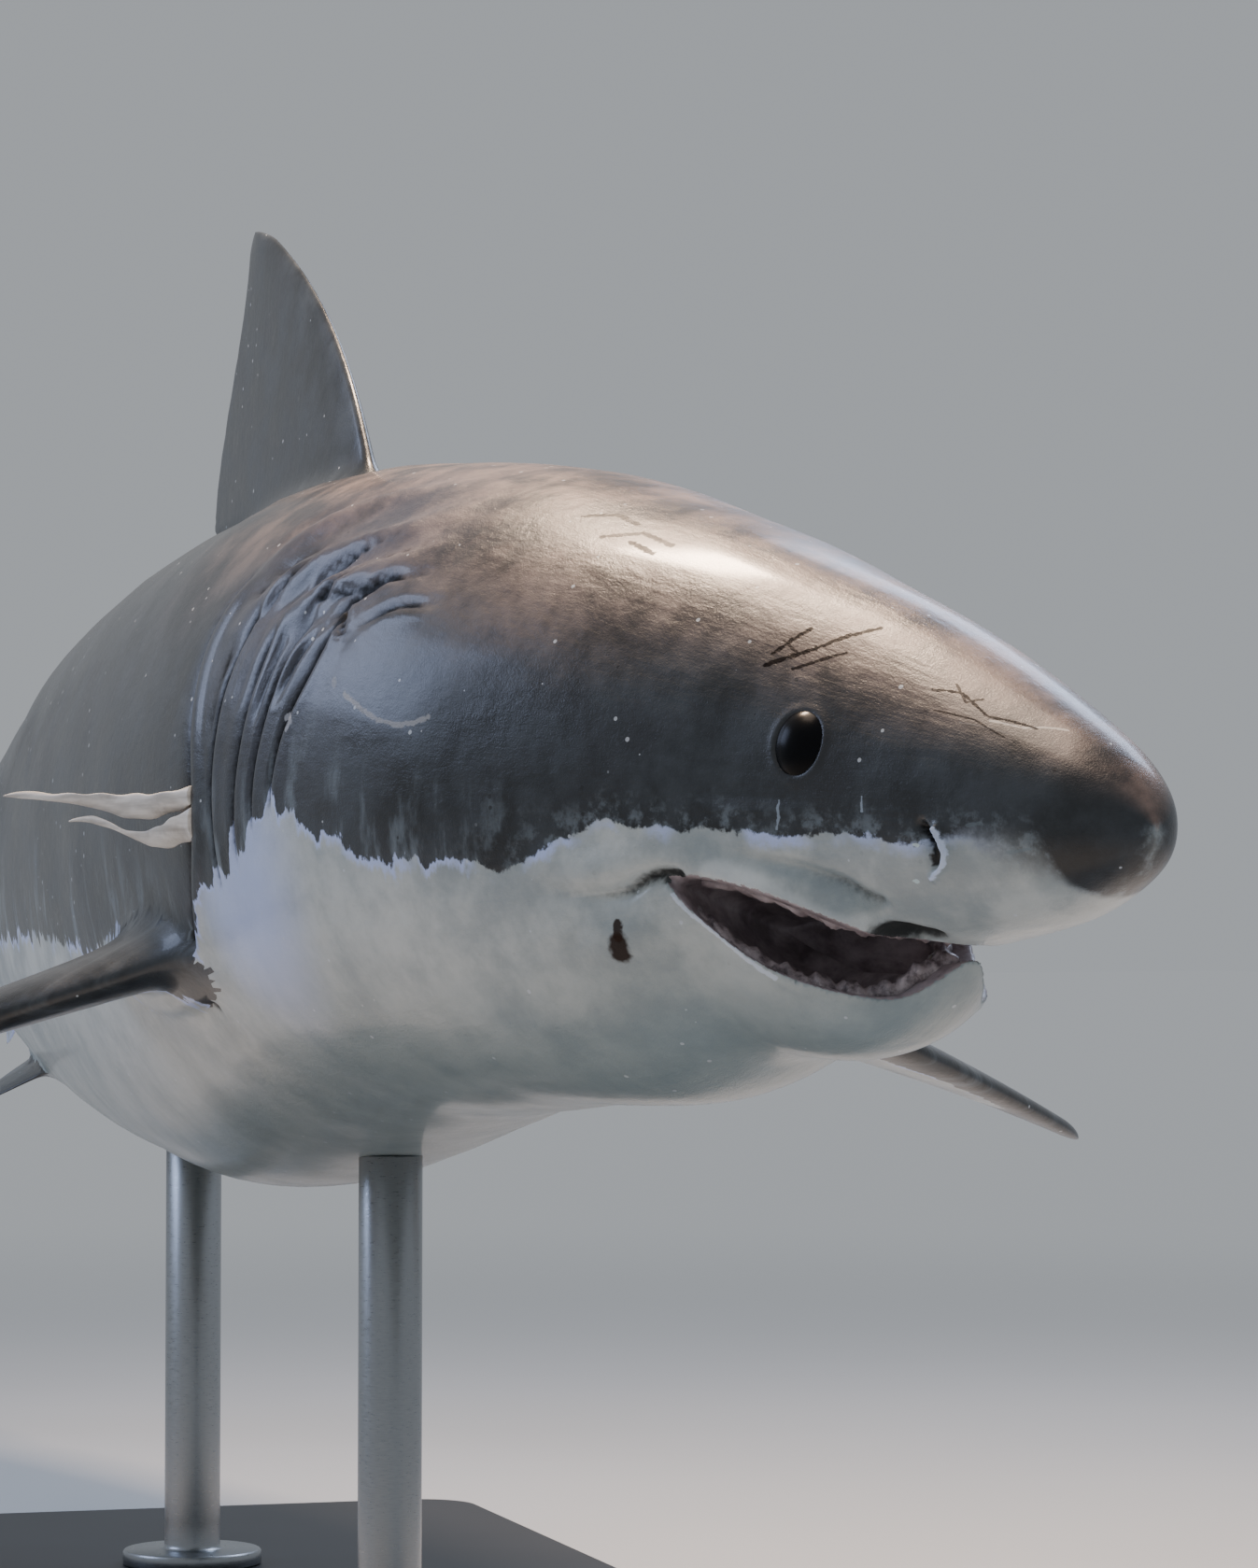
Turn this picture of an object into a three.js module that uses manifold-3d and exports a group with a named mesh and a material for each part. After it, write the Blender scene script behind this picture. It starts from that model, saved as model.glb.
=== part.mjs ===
// Great white shark, a still life-size model on a display stand.
// Millimetres, +Z up, head toward +X, the shark's left toward +Y, floor at z = 0.
// The body is one loft of egg-shaped sections along a bent spine. Thin flat cuts part it into
// head, gill region, trunk and tail stock. Fins are swept aerofoils trimmed by the body's surface.
import * as THREE from 'three';
import { ParametricGeometry } from 'three/addons/geometries/ParametricGeometry.js';
import { mergeVertices } from 'three/addons/utils/BufferGeometryUtils.js';
import Module from 'manifold-3d';

const wasm = await Module();
wasm.setup();

// ---------------------------------------------------------------- driving sizes
const LENGTH = 3800; // total length, snout tip to the tip of the upper tail lobe
const SNOUT_HEIGHT = 790; // snout tip above the floor
const GAP = 0.5; // clearance between neighbouring pieces
const COVER = 2; // the faceted solids stand this far outside the smooth skin
const RING = 32; // sides of the body's sections

const degrees = THREE.MathUtils.degToRad;

// Body sections: station, height above the spine, depth below it, half-width, as fractions of LENGTH.
const SECTIONS = [
  { at: 0.0, top: 0.0, below: 0.0, half: 0.0 }, // snout tip
  { at: 0.003, top: 0.0084, below: 0.0078, half: 0.0081 },
  { at: 0.01, top: 0.0147, below: 0.0129, half: 0.0137 },
  { at: 0.025, top: 0.023, below: 0.0199, half: 0.0205 },
  { at: 0.045, top: 0.0323, below: 0.0248, half: 0.0262 }, // nostrils
  { at: 0.066, top: 0.0406, below: 0.0291, half: 0.0312 }, // eyes
  { at: 0.085, top: 0.0471, below: 0.039, half: 0.0361 },
  { at: 0.105, top: 0.0531, below: 0.0527, half: 0.0434 }, // mouth corners
  { at: 0.14, top: 0.0624, below: 0.0656, half: 0.0552 },
  { at: 0.19, top: 0.0727, below: 0.0697, half: 0.0667 }, // first gill slit
  { at: 0.25, top: 0.079, below: 0.076, half: 0.0709 }, // last gill slit
  { at: 0.32, top: 0.0845, below: 0.086, half: 0.0714 },
  { at: 0.4, top: 0.0862, below: 0.093, half: 0.0685 }, // deepest part of the trunk
  { at: 0.5, top: 0.0806, below: 0.083, half: 0.0603 },
  { at: 0.6, top: 0.0644, below: 0.066, half: 0.0466 },
  { at: 0.7, top: 0.0432, below: 0.0436, half: 0.0308 },
  { at: 0.78, top: 0.0242, below: 0.0242, half: 0.0191 },
  { at: 0.835, top: 0.0152, below: 0.0158, half: 0.0151 }, // narrowest part of the tail stock
  { at: 0.87, top: 0.0125, below: 0.0125, half: 0.004 },
];
const ROUND_ABOVE = 2.05; // superellipse power of the back
const ROUND_BELOW = 2.15; // superellipse power of the belly

// Pose of the spine: the head is nearly level, the body turns to the shark's left and sinks a little.
const HEAD_PITCH = degrees(-3.5);
const TRUNK_PITCH = degrees(3.2);
const BANK = degrees(1.4); // left side down
const BEND_GILLS = degrees(-18.5);
const BEND_TRUNK = degrees(1.7);
const BEND_TAIL = degrees(12);
const SPINE_STEPS = 600;

// Where the cuts part the body.
const HEAD_END = 0.185;
const GILLS_END = 0.266;
const TRUNK_MIDDLE = 0.4;
const TRUNK_END = 0.62;
const STOCK_END = 0.862;

// Lower jaw and mouth.
const JAW_FRONT = 0.0495;
const JAW_END = 0.14;
const JAW_DEPTH = 0.0242;
const JAW_DROP = 0.028;
const JAW_HALF = 0.0376;
const JAW_WIDENING = 0.05; // length over which the jaw reaches its full width
const CHIN_RUN = 0.042; // length over which the chin reaches its full depth
const CHIN_SLOPE = 0.62; // at 0.5 the chin is a quarter ellipse, and above that it slopes back
const MOUTH_HALF = 0.0405; // half-width at the corners
const MOUTH_CORNER = { along: 0.102, up: -0.0155 };
const THROAT = { along: 0.112, left: 0, up: -0.0265 }; // where palate and floor of the mouth meet
const MOUTH_ARCH = 0.006; // how far palate and floor bow away from the lips
const MOUTH_OUT = -0.16; // how far the cutter reaches out past the lips
const CHIN_RISE = 0.009; // how far the lower lip climbs to its front, which nearly shuts on the snout
const LIP_REACH = 0.003; // how far both lips run on forward at the front
const LIP_SINK = 0.0007; // how far the upper lip drops there
const LIP_FRONT = 0.35; // share of each half-width that this front takes up
const MOUTH_STEPS = 4;
const MOUTH_SIDES = 12;

// Keels on the tail stock.
const KEEL_WIDTH = 0.012;

// Eyes.
const EYE = { at: 0.072, angle: degrees(67.8), thick: 18, wide: 24.5, tall: 28.5, sunk: 9 };

// Gill slits: stations of their upper ends and how far the lower ends lie behind them.
const GILL_TOPS = [0.1965, 0.2135, 0.2225, 0.237, 0.2535];
const GILL_LAGS = [0.0135, 0.004, 0.003, 0.001, 0.006];
const GILL_FROM = degrees(53);
const GILL_TO = [112, 114, 118, 122, 130].map(degrees);
const GILL_WIDTH = 6;
const GILL_DEPTH = 16;

// ---------------------------------------------------------------- small helpers
const clamp01 = (value) => Math.min(1, Math.max(0, value));

const smooth = (value) => {
  const t = clamp01(value);
  return t * t * (3 - 2 * t);
};

// Cubic through the knots that never overshoots them (harmonic-mean slopes).
function monotone(xs, ys) {
  const last = xs.length - 1;
  const step = xs.slice(1).map((x, i) => x - xs[i]);
  const rise = step.map((h, i) => (ys[i + 1] - ys[i]) / h);
  const slope = ys.map((_, i) => {
    if (i === 0) return endSlope(step[0], step[1], rise[0], rise[1]);
    if (i === last) return endSlope(step[last - 1], step[last - 2], rise[last - 1], rise[last - 2]);
    if (rise[i - 1] * rise[i] <= 0) return 0;
    const before = 2 * step[i] + step[i - 1];
    const after = step[i] + 2 * step[i - 1];
    return (before + after) / (before / rise[i - 1] + after / rise[i]);
  });
  return (x) => {
    const i = Math.min(last - 1, Math.max(0, xs.findIndex((knot) => knot > x) - 1));
    const k = x >= xs[last] ? last - 1 : i;
    const h = step[k];
    const t = clamp01((x - xs[k]) / h);
    const back = (1 + 2 * t) * (1 - t) * (1 - t) * ys[k] + t * (1 - t) * (1 - t) * h * slope[k];
    const front = t * t * (3 - 2 * t) * ys[k + 1] + t * t * (t - 1) * h * slope[k + 1];
    return back + front;
  };
}

function endSlope(h0, h1, rise0, rise1) {
  const slope = ((2 * h0 + h1) * rise0 - h0 * rise1) / (h0 + h1);
  if (slope * rise0 <= 0) return 0;
  if (rise0 * rise1 <= 0 && Math.abs(slope) > 3 * Math.abs(rise0)) return 3 * rise0;
  return slope;
}

// ---------------------------------------------------------------- the body's shape
const ROOTS = SECTIONS.map((section) => Math.sqrt(section.at));
const topOf = monotone(ROOTS, SECTIONS.map((section) => section.top));
const belowOf = monotone(ROOTS, SECTIONS.map((section) => section.below));
const halfOf = monotone(ROOTS, SECTIONS.map((section) => section.half));

function superellipse(sine, cosine, half, high, power) {
  return ((sine / half) ** power + (cosine / high) ** power) ** (-1 / power);
}

function smoothMax(a, b, blend) {
  const near = Math.max(blend - Math.abs(a - b), 0) / blend;
  return Math.max(a, b) + (near * near * blend) / 4;
}

// Radius of the lower jaw's section: a half-egg that swells back from JAW_FRONT.
function jawRadius(at, sine, cosine) {
  if (cosine >= 0 || at < JAW_FRONT || at > JAW_END) return 0;
  const deepening = clamp01((at - JAW_FRONT) / CHIN_RUN);
  const widening = clamp01((at - JAW_FRONT) / JAW_WIDENING);
  const deep = JAW_DEPTH + JAW_DROP * (1 - (1 - deepening) ** 2) ** CHIN_SLOPE;
  const half = JAW_HALF * Math.sqrt(1 - (1 - widening) ** 2) + 1e-6;
  return superellipse(sine, -cosine, half, deep, 2.2);
}

// Radius of the body at a station and an angle from the top, in millimetres.
function bodyRadius(at, angle) {
  const root = Math.sqrt(Math.max(at, 0));
  const sine = Math.abs(Math.sin(angle));
  const cosine = Math.cos(angle);
  const above = cosine >= 0;
  const high = (above ? topOf(root) : belowOf(root)) + 1e-9;
  const half = halfOf(root) + 1e-9;
  const power = above ? ROUND_ABOVE : ROUND_BELOW;
  const trunk = superellipse(sine, Math.abs(cosine), half, high, power);
  const blend = 0.004 * smooth((at - JAW_FRONT) / 0.01) * (1 - smooth((at - 0.11) / 0.03)) + 1e-6;
  const keel = KEEL_WIDTH * smooth((at - 0.745) / 0.08) * Math.exp(-((cosine / 0.2) ** 2));
  return LENGTH * (smoothMax(trunk, jawRadius(at, sine, cosine), blend) + keel);
}

// Spine points and headings, summed in short steps from the snout back.
function makeSpine() {
  const rows = [{ x: 0, y: 0, z: 0 }];
  const step = 1 / SPINE_STEPS;
  for (let i = 0; i <= SPINE_STEPS; i += 1) {
    const at = i * step;
    const turn = BEND_GILLS * smooth((at - 0.08) / 0.24) + BEND_TRUNK * smooth((at - 0.26) / 0.34);
    rows[i].turn = turn + BEND_TAIL * smooth((at - 0.62) / 0.25);
    const sink = (TRUNK_PITCH - HEAD_PITCH) * smooth((at - 0.08) / 0.3);
    rows[i].pitch = HEAD_PITCH + sink - 0.7 * TRUNK_PITCH * smooth((at - 0.45) / 0.3);
    const reach = LENGTH * step;
    const level = Math.cos(rows[i].pitch) * reach;
    rows.push({
      x: rows[i].x - Math.cos(rows[i].turn) * level,
      y: rows[i].y - Math.sin(rows[i].turn) * level,
      z: rows[i].z - Math.sin(rows[i].pitch) * reach,
    });
  }
  rows.pop();
  return rows;
}

const SPINE = makeSpine();

// A point given by its distance along the spine, to the left and up, all in millimetres.
function place(along, left, up) {
  const slot = THREE.MathUtils.clamp((along / LENGTH) * SPINE_STEPS, 0, SPINE_STEPS - 1e-6);
  const a = SPINE[Math.floor(slot)];
  const b = SPINE[Math.floor(slot) + 1];
  const t = slot - Math.floor(slot);
  const mix = (key) => a[key] + (b[key] - a[key]) * t;
  const turn = mix('turn');
  const pitch = mix('pitch');
  const side = left * Math.cos(BANK) + up * Math.sin(BANK);
  const rise = up * Math.cos(BANK) - left * Math.sin(BANK);
  const lean = rise * Math.sin(pitch);
  const beyond = Math.min(along, 0);
  return new THREE.Vector3(
    mix('x') - side * Math.sin(turn) - lean * Math.cos(turn) - beyond,
    mix('y') + side * Math.cos(turn) - lean * Math.sin(turn),
    mix('z') + rise * Math.cos(pitch)
  );
}

// Angle 0 is the top, and it grows toward the right side.
function bodyPoint(at, angle, extra = COVER) {
  const radius = bodyRadius(at, angle) + extra;
  return place(at * LENGTH, -radius * Math.sin(angle), radius * Math.cos(angle));
}

// Point, outward normal and the directions along and around the body at a place on its side.
function surfaceFrame(at, angle, extra = 0) {
  const point = bodyPoint(at, angle, extra);
  const along = bodyPoint(at - 0.002, angle, extra).sub(bodyPoint(at + 0.002, angle, extra)).normalize();
  const around = bodyPoint(at, angle + 0.02, extra).sub(bodyPoint(at, angle - 0.02, extra)).normalize();
  const normal = new THREE.Vector3().crossVectors(around, along).normalize();
  if (normal.dot(point.clone().sub(place(at * LENGTH, 0, 0))) < 0) normal.negate();
  const upward = new THREE.Vector3(0, 0, 1).addScaledVector(normal, -normal.z).normalize();
  return { point, normal, along, upward };
}

// ---------------------------------------------------------------- solids
// A closed solid from a function of two whole-number parameters, with poles and seam merged.
function solidFrom(pointAt, across, along) {
  const write = (u, v, target) => target.copy(pointAt(Math.round(u * across), Math.round(v * along)));
  return toManifold(new ParametricGeometry(write, across, along));
}

function toManifold(geometry) {
  const plain = geometry.clone();
  plain.deleteAttribute('normal');
  plain.deleteAttribute('uv');
  const merged = mergeVertices(plain, 1e-3);
  const corners = merged.index.array;
  const kept = [];
  for (let i = 0; i < corners.length; i += 3) {
    const [a, b, c] = [corners[i], corners[i + 1], corners[i + 2]];
    if (a !== b && b !== c && c !== a) kept.push(a, b, c);
  }
  const build = (triVerts) =>
    new wasm.Manifold(
      new wasm.Mesh({ numProp: 3, vertProperties: merged.attributes.position.array, triVerts })
    );
  const solid = build(new Uint32Array(kept));
  return solid.volume() > 0 ? solid : build(new Uint32Array(kept.reverse()));
}

function toGeometry(solid) {
  const mesh = solid.getMesh();
  const geometry = new THREE.BufferGeometry();
  const positions = new Float32Array(mesh.numVert * 3);
  for (let i = 0; i < mesh.numVert; i += 1) {
    for (let k = 0; k < 3; k += 1) positions[i * 3 + k] = mesh.vertProperties[i * mesh.numProp + k];
  }
  geometry.setAttribute('position', new THREE.BufferAttribute(positions, 3));
  geometry.setIndex(new THREE.BufferAttribute(new Uint32Array(mesh.triVerts), 1));
  geometry.computeVertexNormals();
  return geometry;
}

// Closed loft through the body's sections at the given stations.
function bodyLoft(stations, extra) {
  const last = stations.length - 1;
  const nose = stations[0] === 0;
  return solidFrom(
    (side, row) => {
      const angle = (side % RING) * ((2 * Math.PI) / RING);
      const index = Math.min(last, Math.max(0, row - 1));
      const at = stations[index];
      if (nose && row <= 1) return place(-extra, 0, 0);
      if (row === 0 || row === last + 2) return place(at * LENGTH, 0, 0);
      return bodyPoint(at, angle, extra);
    },
    RING,
    last + 2
  );
}

// ---------------------------------------------------------------- stations of the lofts
const spread = (from, to, count, power = 1) =>
  Array.from({ length: count + 1 }, (_, i) => from + (to - from) * (i / count) ** power);

const STATIONS = {
  head: [...spread(0, JAW_FRONT - 0.0005, 9, 2), ...spread(JAW_FRONT + 0.0004, 0.125, 9, 1.7),
    ...spread(0.125, HEAD_END, 2).slice(1)],
  gills: spread(HEAD_END, GILLS_END, 4),
  front: spread(GILLS_END, TRUNK_MIDDLE, 5),
  rear: spread(TRUNK_MIDDLE, TRUNK_END, 6),
  stock: spread(TRUNK_END, STOCK_END, 10),
};
const WHOLE = Object.values(STATIONS).flatMap((list, i) => (i === 0 ? list : list.slice(1)));

// Pull a loft's two end cuts in by half the gap.
function trimEnds(stations, cutFront, cutRear) {
  const half = GAP / 2 / LENGTH;
  const list = [...stations];
  if (cutFront) list[0] += half;
  if (cutRear) list[list.length - 1] -= half;
  return list;
}

// The whole body a gap larger, which trims whatever grows out of it.
const BODY_CUTTER = bodyLoft([...WHOLE, STOCK_END + GAP / LENGTH], COVER + GAP);

// ---------------------------------------------------------------- mouth and jaw
// Lip arches, as fractions of LENGTH: side runs from -1 at the right corner to 1 at the left one.
function upperLip(side) {
  const s = Math.abs(side);
  const front = { along: 0.0515, up: -0.025 };
  const reach = 1 - smooth(s / LIP_FRONT);
  const along = front.along + (MOUTH_CORNER.along - front.along) * s ** 1.9 - LIP_REACH * reach;
  const up = front.up + (MOUTH_CORNER.up - front.up) * smooth((s - 0.38) / 0.6) - LIP_SINK * reach;
  return { along, left: MOUTH_HALF * side, up };
}

function lowerLip(side) {
  const s = Math.abs(side);
  const front = { along: 0.0545, up: -0.0372 };
  const reach = 1 - smooth(s / LIP_FRONT);
  const along = front.along + (MOUTH_CORNER.along - front.along) * s ** 1.4 - LIP_REACH * reach;
  const sag = front.up + (MOUTH_CORNER.up - front.up) * s ** 3.9;
  return { along, left: MOUTH_HALF * side, up: sag + CHIN_RISE * (1 - smooth(s / 0.3)) };
}

// Inside of the mouth: from the lips both sheets run back to the throat, bowed apart on the way.
function mouthPoint(side, inward, lip, bow) {
  const edge = lip(side);
  const mix = (key) => edge[key] + (THROAT[key] - edge[key]) * inward;
  const bulge = bow * MOUTH_ARCH * Math.sin(Math.PI * clamp01(inward)) * Math.sqrt(1 - side * side);
  return place(mix('along') * LENGTH, mix('left') * LENGTH, (mix('up') + bulge) * LENGTH);
}

function mouthCavity() {
  const rows = 2 * MOUTH_STEPS + 2;
  return solidFrom(
    (across, row) => {
      const side = -1 + (2 * across) / MOUTH_SIDES;
      const onRoof = row <= MOUTH_STEPS;
      const index = onRoof ? row : Math.max(0, 2 * MOUTH_STEPS + 1 - row);
      const inward = MOUTH_OUT + (1 - MOUTH_OUT) * (index / MOUTH_STEPS);
      if (row === rows) return mouthPoint(side, MOUTH_OUT, upperLip, 1);
      return mouthPoint(side, inward, onRoof ? upperLip : lowerLip, onRoof ? 1 : -1);
    },
    MOUTH_SIDES,
    rows
  );
}

// Block that parts the lower jaw from the head: its top runs level between the lips' fronts, then
// slopes up through the mouth's corners to the jaw's hinge.
function jawBlock(extra) {
  const corner = (along, up) => place(along * LENGTH, 0, up * LENGTH);
  const front = corner(0.035, -0.0268);
  const bend = corner(0.072, -0.0268);
  const back = corner(0.128, -0.0087);
  const shape = new THREE.Shape();
  shape.moveTo(front.x + extra, front.z + extra);
  shape.lineTo(bend.x, bend.z + extra);
  shape.lineTo(back.x - extra, back.z + extra);
  shape.lineTo(back.x - extra, -0.13 * LENGTH);
  shape.lineTo(front.x + extra, -0.13 * LENGTH);
  const block = new THREE.ExtrudeGeometry(shape, { depth: 600, bevelEnabled: false });
  block.rotateX(Math.PI / 2);
  block.translate(0, 300, 0);
  return toManifold(block);
}

// One row of pointed teeth along a lip arch, set inward from the lip, tips up or down.
function teeth(lip, count, height, upward, sunk) {
  let row = null;
  for (let i = 0; i < count; i += 1) {
    const side = ((i + 0.5) / count) * 1.56 - 0.78;
    const size = height * (1 - 0.45 * Math.abs(side));
    const seat = mouthPoint(side, 0.1, lip, upward ? -1 : 1);
    const next = mouthPoint(side + 0.04, 0.1, lip, upward ? -1 : 1);
    const tooth = new THREE.ConeGeometry(size * 0.5, size + sunk, 4);
    tooth.rotateY(Math.PI / 4);
    tooth.scale(1, 1, 0.55);
    tooth.rotateX(upward ? Math.PI / 2 : -Math.PI / 2);
    tooth.rotateZ(Math.atan2(next.y - seat.y, next.x - seat.x));
    tooth.translate(seat.x, seat.y, seat.z + ((upward ? 1 : -1) * (size - sunk)) / 2);
    const solid = toManifold(tooth);
    row = row ? row.add(solid) : solid;
  }
  return row;
}

// ---------------------------------------------------------------- eyes and gills
function eyeball(side, extra) {
  const { point, normal } = surfaceFrame(EYE.at, side === 'right' ? EYE.angle : -EYE.angle);
  const upright = new THREE.Vector3(0, 0, 1).addScaledVector(normal, -normal.z).normalize();
  const forward = new THREE.Vector3().crossVectors(upright, normal);
  const ball = new THREE.SphereGeometry(1, 12, 8);
  ball.scale(EYE.wide + extra, EYE.tall + extra, EYE.thick + extra);
  ball.applyMatrix4(new THREE.Matrix4().makeBasis(forward, upright, normal));
  const centre = point.clone().addScaledVector(normal, -EYE.sunk);
  ball.translate(centre.x, centre.y, centre.z);
  return toManifold(ball);
}

// Curved blade that cuts one gill slit into the side of the gill region.
function gillBlade(index, sign) {
  const steps = 4;
  const corners = [[-1, -1], [1, -1], [1, 1], [-1, 1]];
  return solidFrom(
    (corner, row) => {
      const turn = clamp01((row - 1) / steps);
      const angle = GILL_FROM + (GILL_TO[index] - GILL_FROM) * turn;
      const at = GILL_TOPS[index] + GILL_LAGS[index] * turn;
      if (row === 0 || row === steps + 2) return bodyPoint(at, sign * angle, 0);
      const [wide, deep] = corners[corner % 4];
      const edge = at + ((wide * GILL_WIDTH) / 2 + deep * -2) / LENGTH;
      const inward = -GILL_DEPTH * Math.sin(Math.PI * (0.15 + 0.7 * turn));
      return bodyPoint(edge, sign * angle, deep < 0 ? inward : 12);
    },
    4,
    steps + 2
  );
}

// ---------------------------------------------------------------- fins
// A fin rises along a span from its root. Leading and trailing edges are curves of the height 0..1,
// measured back from the front of the root. The section is a rounded aerofoil.
const FINS = {
  dorsal_first: { span: 336, base: 500, setback: 437, bow: 0.5, curl: 2.6, tip: 49, rear: 120, hollow: 0,
    round: 0.07, thick: 46 },
  dorsal_second: { span: 58, base: 62, setback: 66, bow: 0.3, curl: 3, tip: 8, rear: 42, hollow: 6,
    round: 0.15, thick: 11 },
  anal_fin: { span: 58, base: 60, setback: 66, bow: 0.3, curl: 3, tip: 8, rear: 42, hollow: 6,
    round: 0.15, thick: 11 },
  pectoral: { span: 600, base: 262, setback: 400, bow: 0.45, curl: 1.9, tip: 36, rear: 76, hollow: 60,
    round: 0.06, thick: 74 },
  pelvic: { span: 138, base: 180, setback: 112, bow: 0.35, curl: 3, tip: 36, rear: 60, hollow: 12,
    round: 0.12, thick: 26 },
  caudal_upper: { span: 580, base: 246, setback: 592, bow: 0.34, curl: 2.2, tip: 44, rear: 0, hollow: 46,
    round: 0.05, thick: 46 },
  caudal_lower: { span: 500, base: 246, setback: 420, bow: 0.4, curl: 2.2, tip: 40, rear: 0, hollow: 46,
    round: 0.06, thick: 46 },
};
const FIN_AROUND = 12;

// Half-thickness of the aerofoil at a chord fraction, for a full thickness of one.
function aerofoil(c) {
  const belly = 1.4845 * Math.sqrt(c) - 0.63 * c - 1.758 * c ** 2 + 1.4215 * c ** 3 - 0.5075 * c ** 4;
  return belly + 0.02 * c;
}

// Leading and trailing edge at a height; the outer end is pinched to a rounded tip.
function finEdges(fin, height) {
  const h = Math.max(height, 0);
  const lead = fin.setback * ((1 - fin.bow) * height + fin.bow * h ** fin.curl);
  const rearLobe = fin.rear * smooth(h / 0.1);
  const straight = fin.base + (fin.setback + fin.tip - fin.base) * h ** 1.15;
  const fade = 1 - smooth((h - 0.1) / 0.9);
  const trail = straight + rearLobe * fade - fin.hollow * Math.sin(Math.PI * clamp01(h) ** 0.8);
  const over = clamp01((h - (1 - fin.round)) / fin.round);
  const pinch = Math.sqrt(Math.max(1 - over * over, 0));
  const middle = lead + (trail - lead) * 0.62;
  return { lead: middle + (lead - middle) * pinch, trail: middle + (trail - middle) * pinch, pinch };
}

// Closed fin solid: put(back, out, aside) turns fin coordinates into a point in space.
function finSolid(fin, rootDepth, rows, put, extra = 1) {
  const low = -rootDepth / fin.span;
  return solidFrom(
    (around, row) => {
      const climb = clamp01((row - 1) / rows);
      const height = low + (1 - low) * (1 - (1 - climb) ** 1.4);
      const { lead, trail, pinch } = finEdges(fin, height);
      const grown = height * fin.span + extra * climb;
      if (row === 0 || row === rows + 2) return put((lead + trail) / 2, grown, 0);
      const turn = ((around % FIN_AROUND) / FIN_AROUND) * 2 * Math.PI;
      const chord = (1 - Math.cos(turn)) / 2;
      const taper = (1 - 0.8 * Math.max(height, 0) ** 0.8) * Math.max(pinch, 0.25);
      const thick = fin.thick * taper * aerofoil(chord) + extra;
      const back = lead + (trail - lead) * chord - extra * Math.cos(turn);
      return put(back, grown, Math.sign(Math.sin(turn) || 0) * (chord > 0.001 && chord < 0.999 ? thick : 0));
    },
    FIN_AROUND,
    rows + 2
  );
}

// A fin that stands on the ridge of the back (up = 1) or under the belly (up = -1).
function midlineFin(name, at, up, level, rows) {
  const fin = FINS[name];
  const solid = finSolid(fin, 45, rows, (back, out, aside) =>
    place(at * LENGTH + back, aside, up * (level + out))
  );
  return solid.subtract(BODY_CUTTER);
}

// A paired fin: it leaves the side of the body at a height, and droops or rises along its span.
function pairedFin(name, { at, half, inside }, side, { up, droop, twist }, rows) {
  const fin = FINS[name];
  const solid = finSolid(fin, inside, rows, (back, out, aside) => {
    const lift = aside - back * Math.sin(twist);
    const reach = half + out * Math.cos(droop) - lift * Math.sin(droop);
    return place(at * LENGTH + back, side * reach, up - out * Math.sin(droop) + lift * Math.cos(droop));
  });
  return solid.subtract(BODY_CUTTER);
}

const PECTORAL = { at: 0.268, half: 215, inside: 90 };
const PECTORAL_SET = {
  left: { up: -130, droop: degrees(14), twist: degrees(3) },
  right: { up: -130, droop: degrees(20), twist: degrees(2) },
};
const PELVIC = { at: 0.56, half: 85, inside: 40 };
const PELVIC_SET = { up: -205, droop: degrees(30), twist: 0 };
const DORSAL_FIRST_AT = 0.343;
const DORSAL_SECOND_AT = 0.705;
const ANAL_AT = 0.722;
const CAUDAL_AT = 0.826;

// A tail lobe, cut flat at the middle line so that a gap stays between the two.
function tailLobe(name, up) {
  const fin = FINS[name];
  const solid = finSolid(fin, -GAP / 2 - 0.1, 12, (back, out, aside) => {
    const along = CAUDAL_AT * LENGTH + back;
    return place(along, aside, up * out);
  });
  return solid.subtract(BODY_CUTTER);
}

// ---------------------------------------------------------------- torn skin strips behind the right gills
const STRIPS = {
  skin_strip_upper: { at: 0.251, angle: degrees(92), length: 232, wide: 21, spread: 0.42 },
  skin_strip_lower: { at: 0.251, angle: degrees(97), length: 150, wide: 24, spread: 0.42 },
};
const STRIP_THICK = 3;

function skinStrip({ at, angle, length, wide, spread: away }) {
  const rows = 9;
  const { point, normal, along, upward } = surfaceFrame(at, angle, COVER + GAP + 3);
  const corners = [[-1, -1], [1, -1], [1, 1], [-1, 1]];
  return solidFrom(
    (corner, row) => {
      const t = clamp01((row - 1) / rows);
      const centre = point
        .clone()
        .addScaledVector(along, -length * t)
        .addScaledVector(normal, away * length * t ** 1.3)
        .addScaledVector(upward, -7 * Math.sin(5.5 * t) - 6 * t);
      if (row === 0 || row === rows + 2) return centre;
      const [flat, deep] = corners[corner % 4];
      const half = (wide / 2) * (1 - 0.82 * t) * (1 + 0.2 * Math.sin(11 * t));
      return centre.addScaledVector(upward, flat * half).addScaledVector(normal, (deep * STRIP_THICK) / 2);
    },
    4,
    rows + 2
  );
}

// ---------------------------------------------------------------- stand
const PLATE = { long: 1750, wide: 820, thick: 22, corner: 70, bevel: 3, at: 0.415, turn: degrees(20) };
const ROD = { radius: 30, flange: 75, flangeThick: 16 };
const ROD_STATIONS = { stand_rod_front: 0.32, stand_rod_rear: 0.52 };

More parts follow.
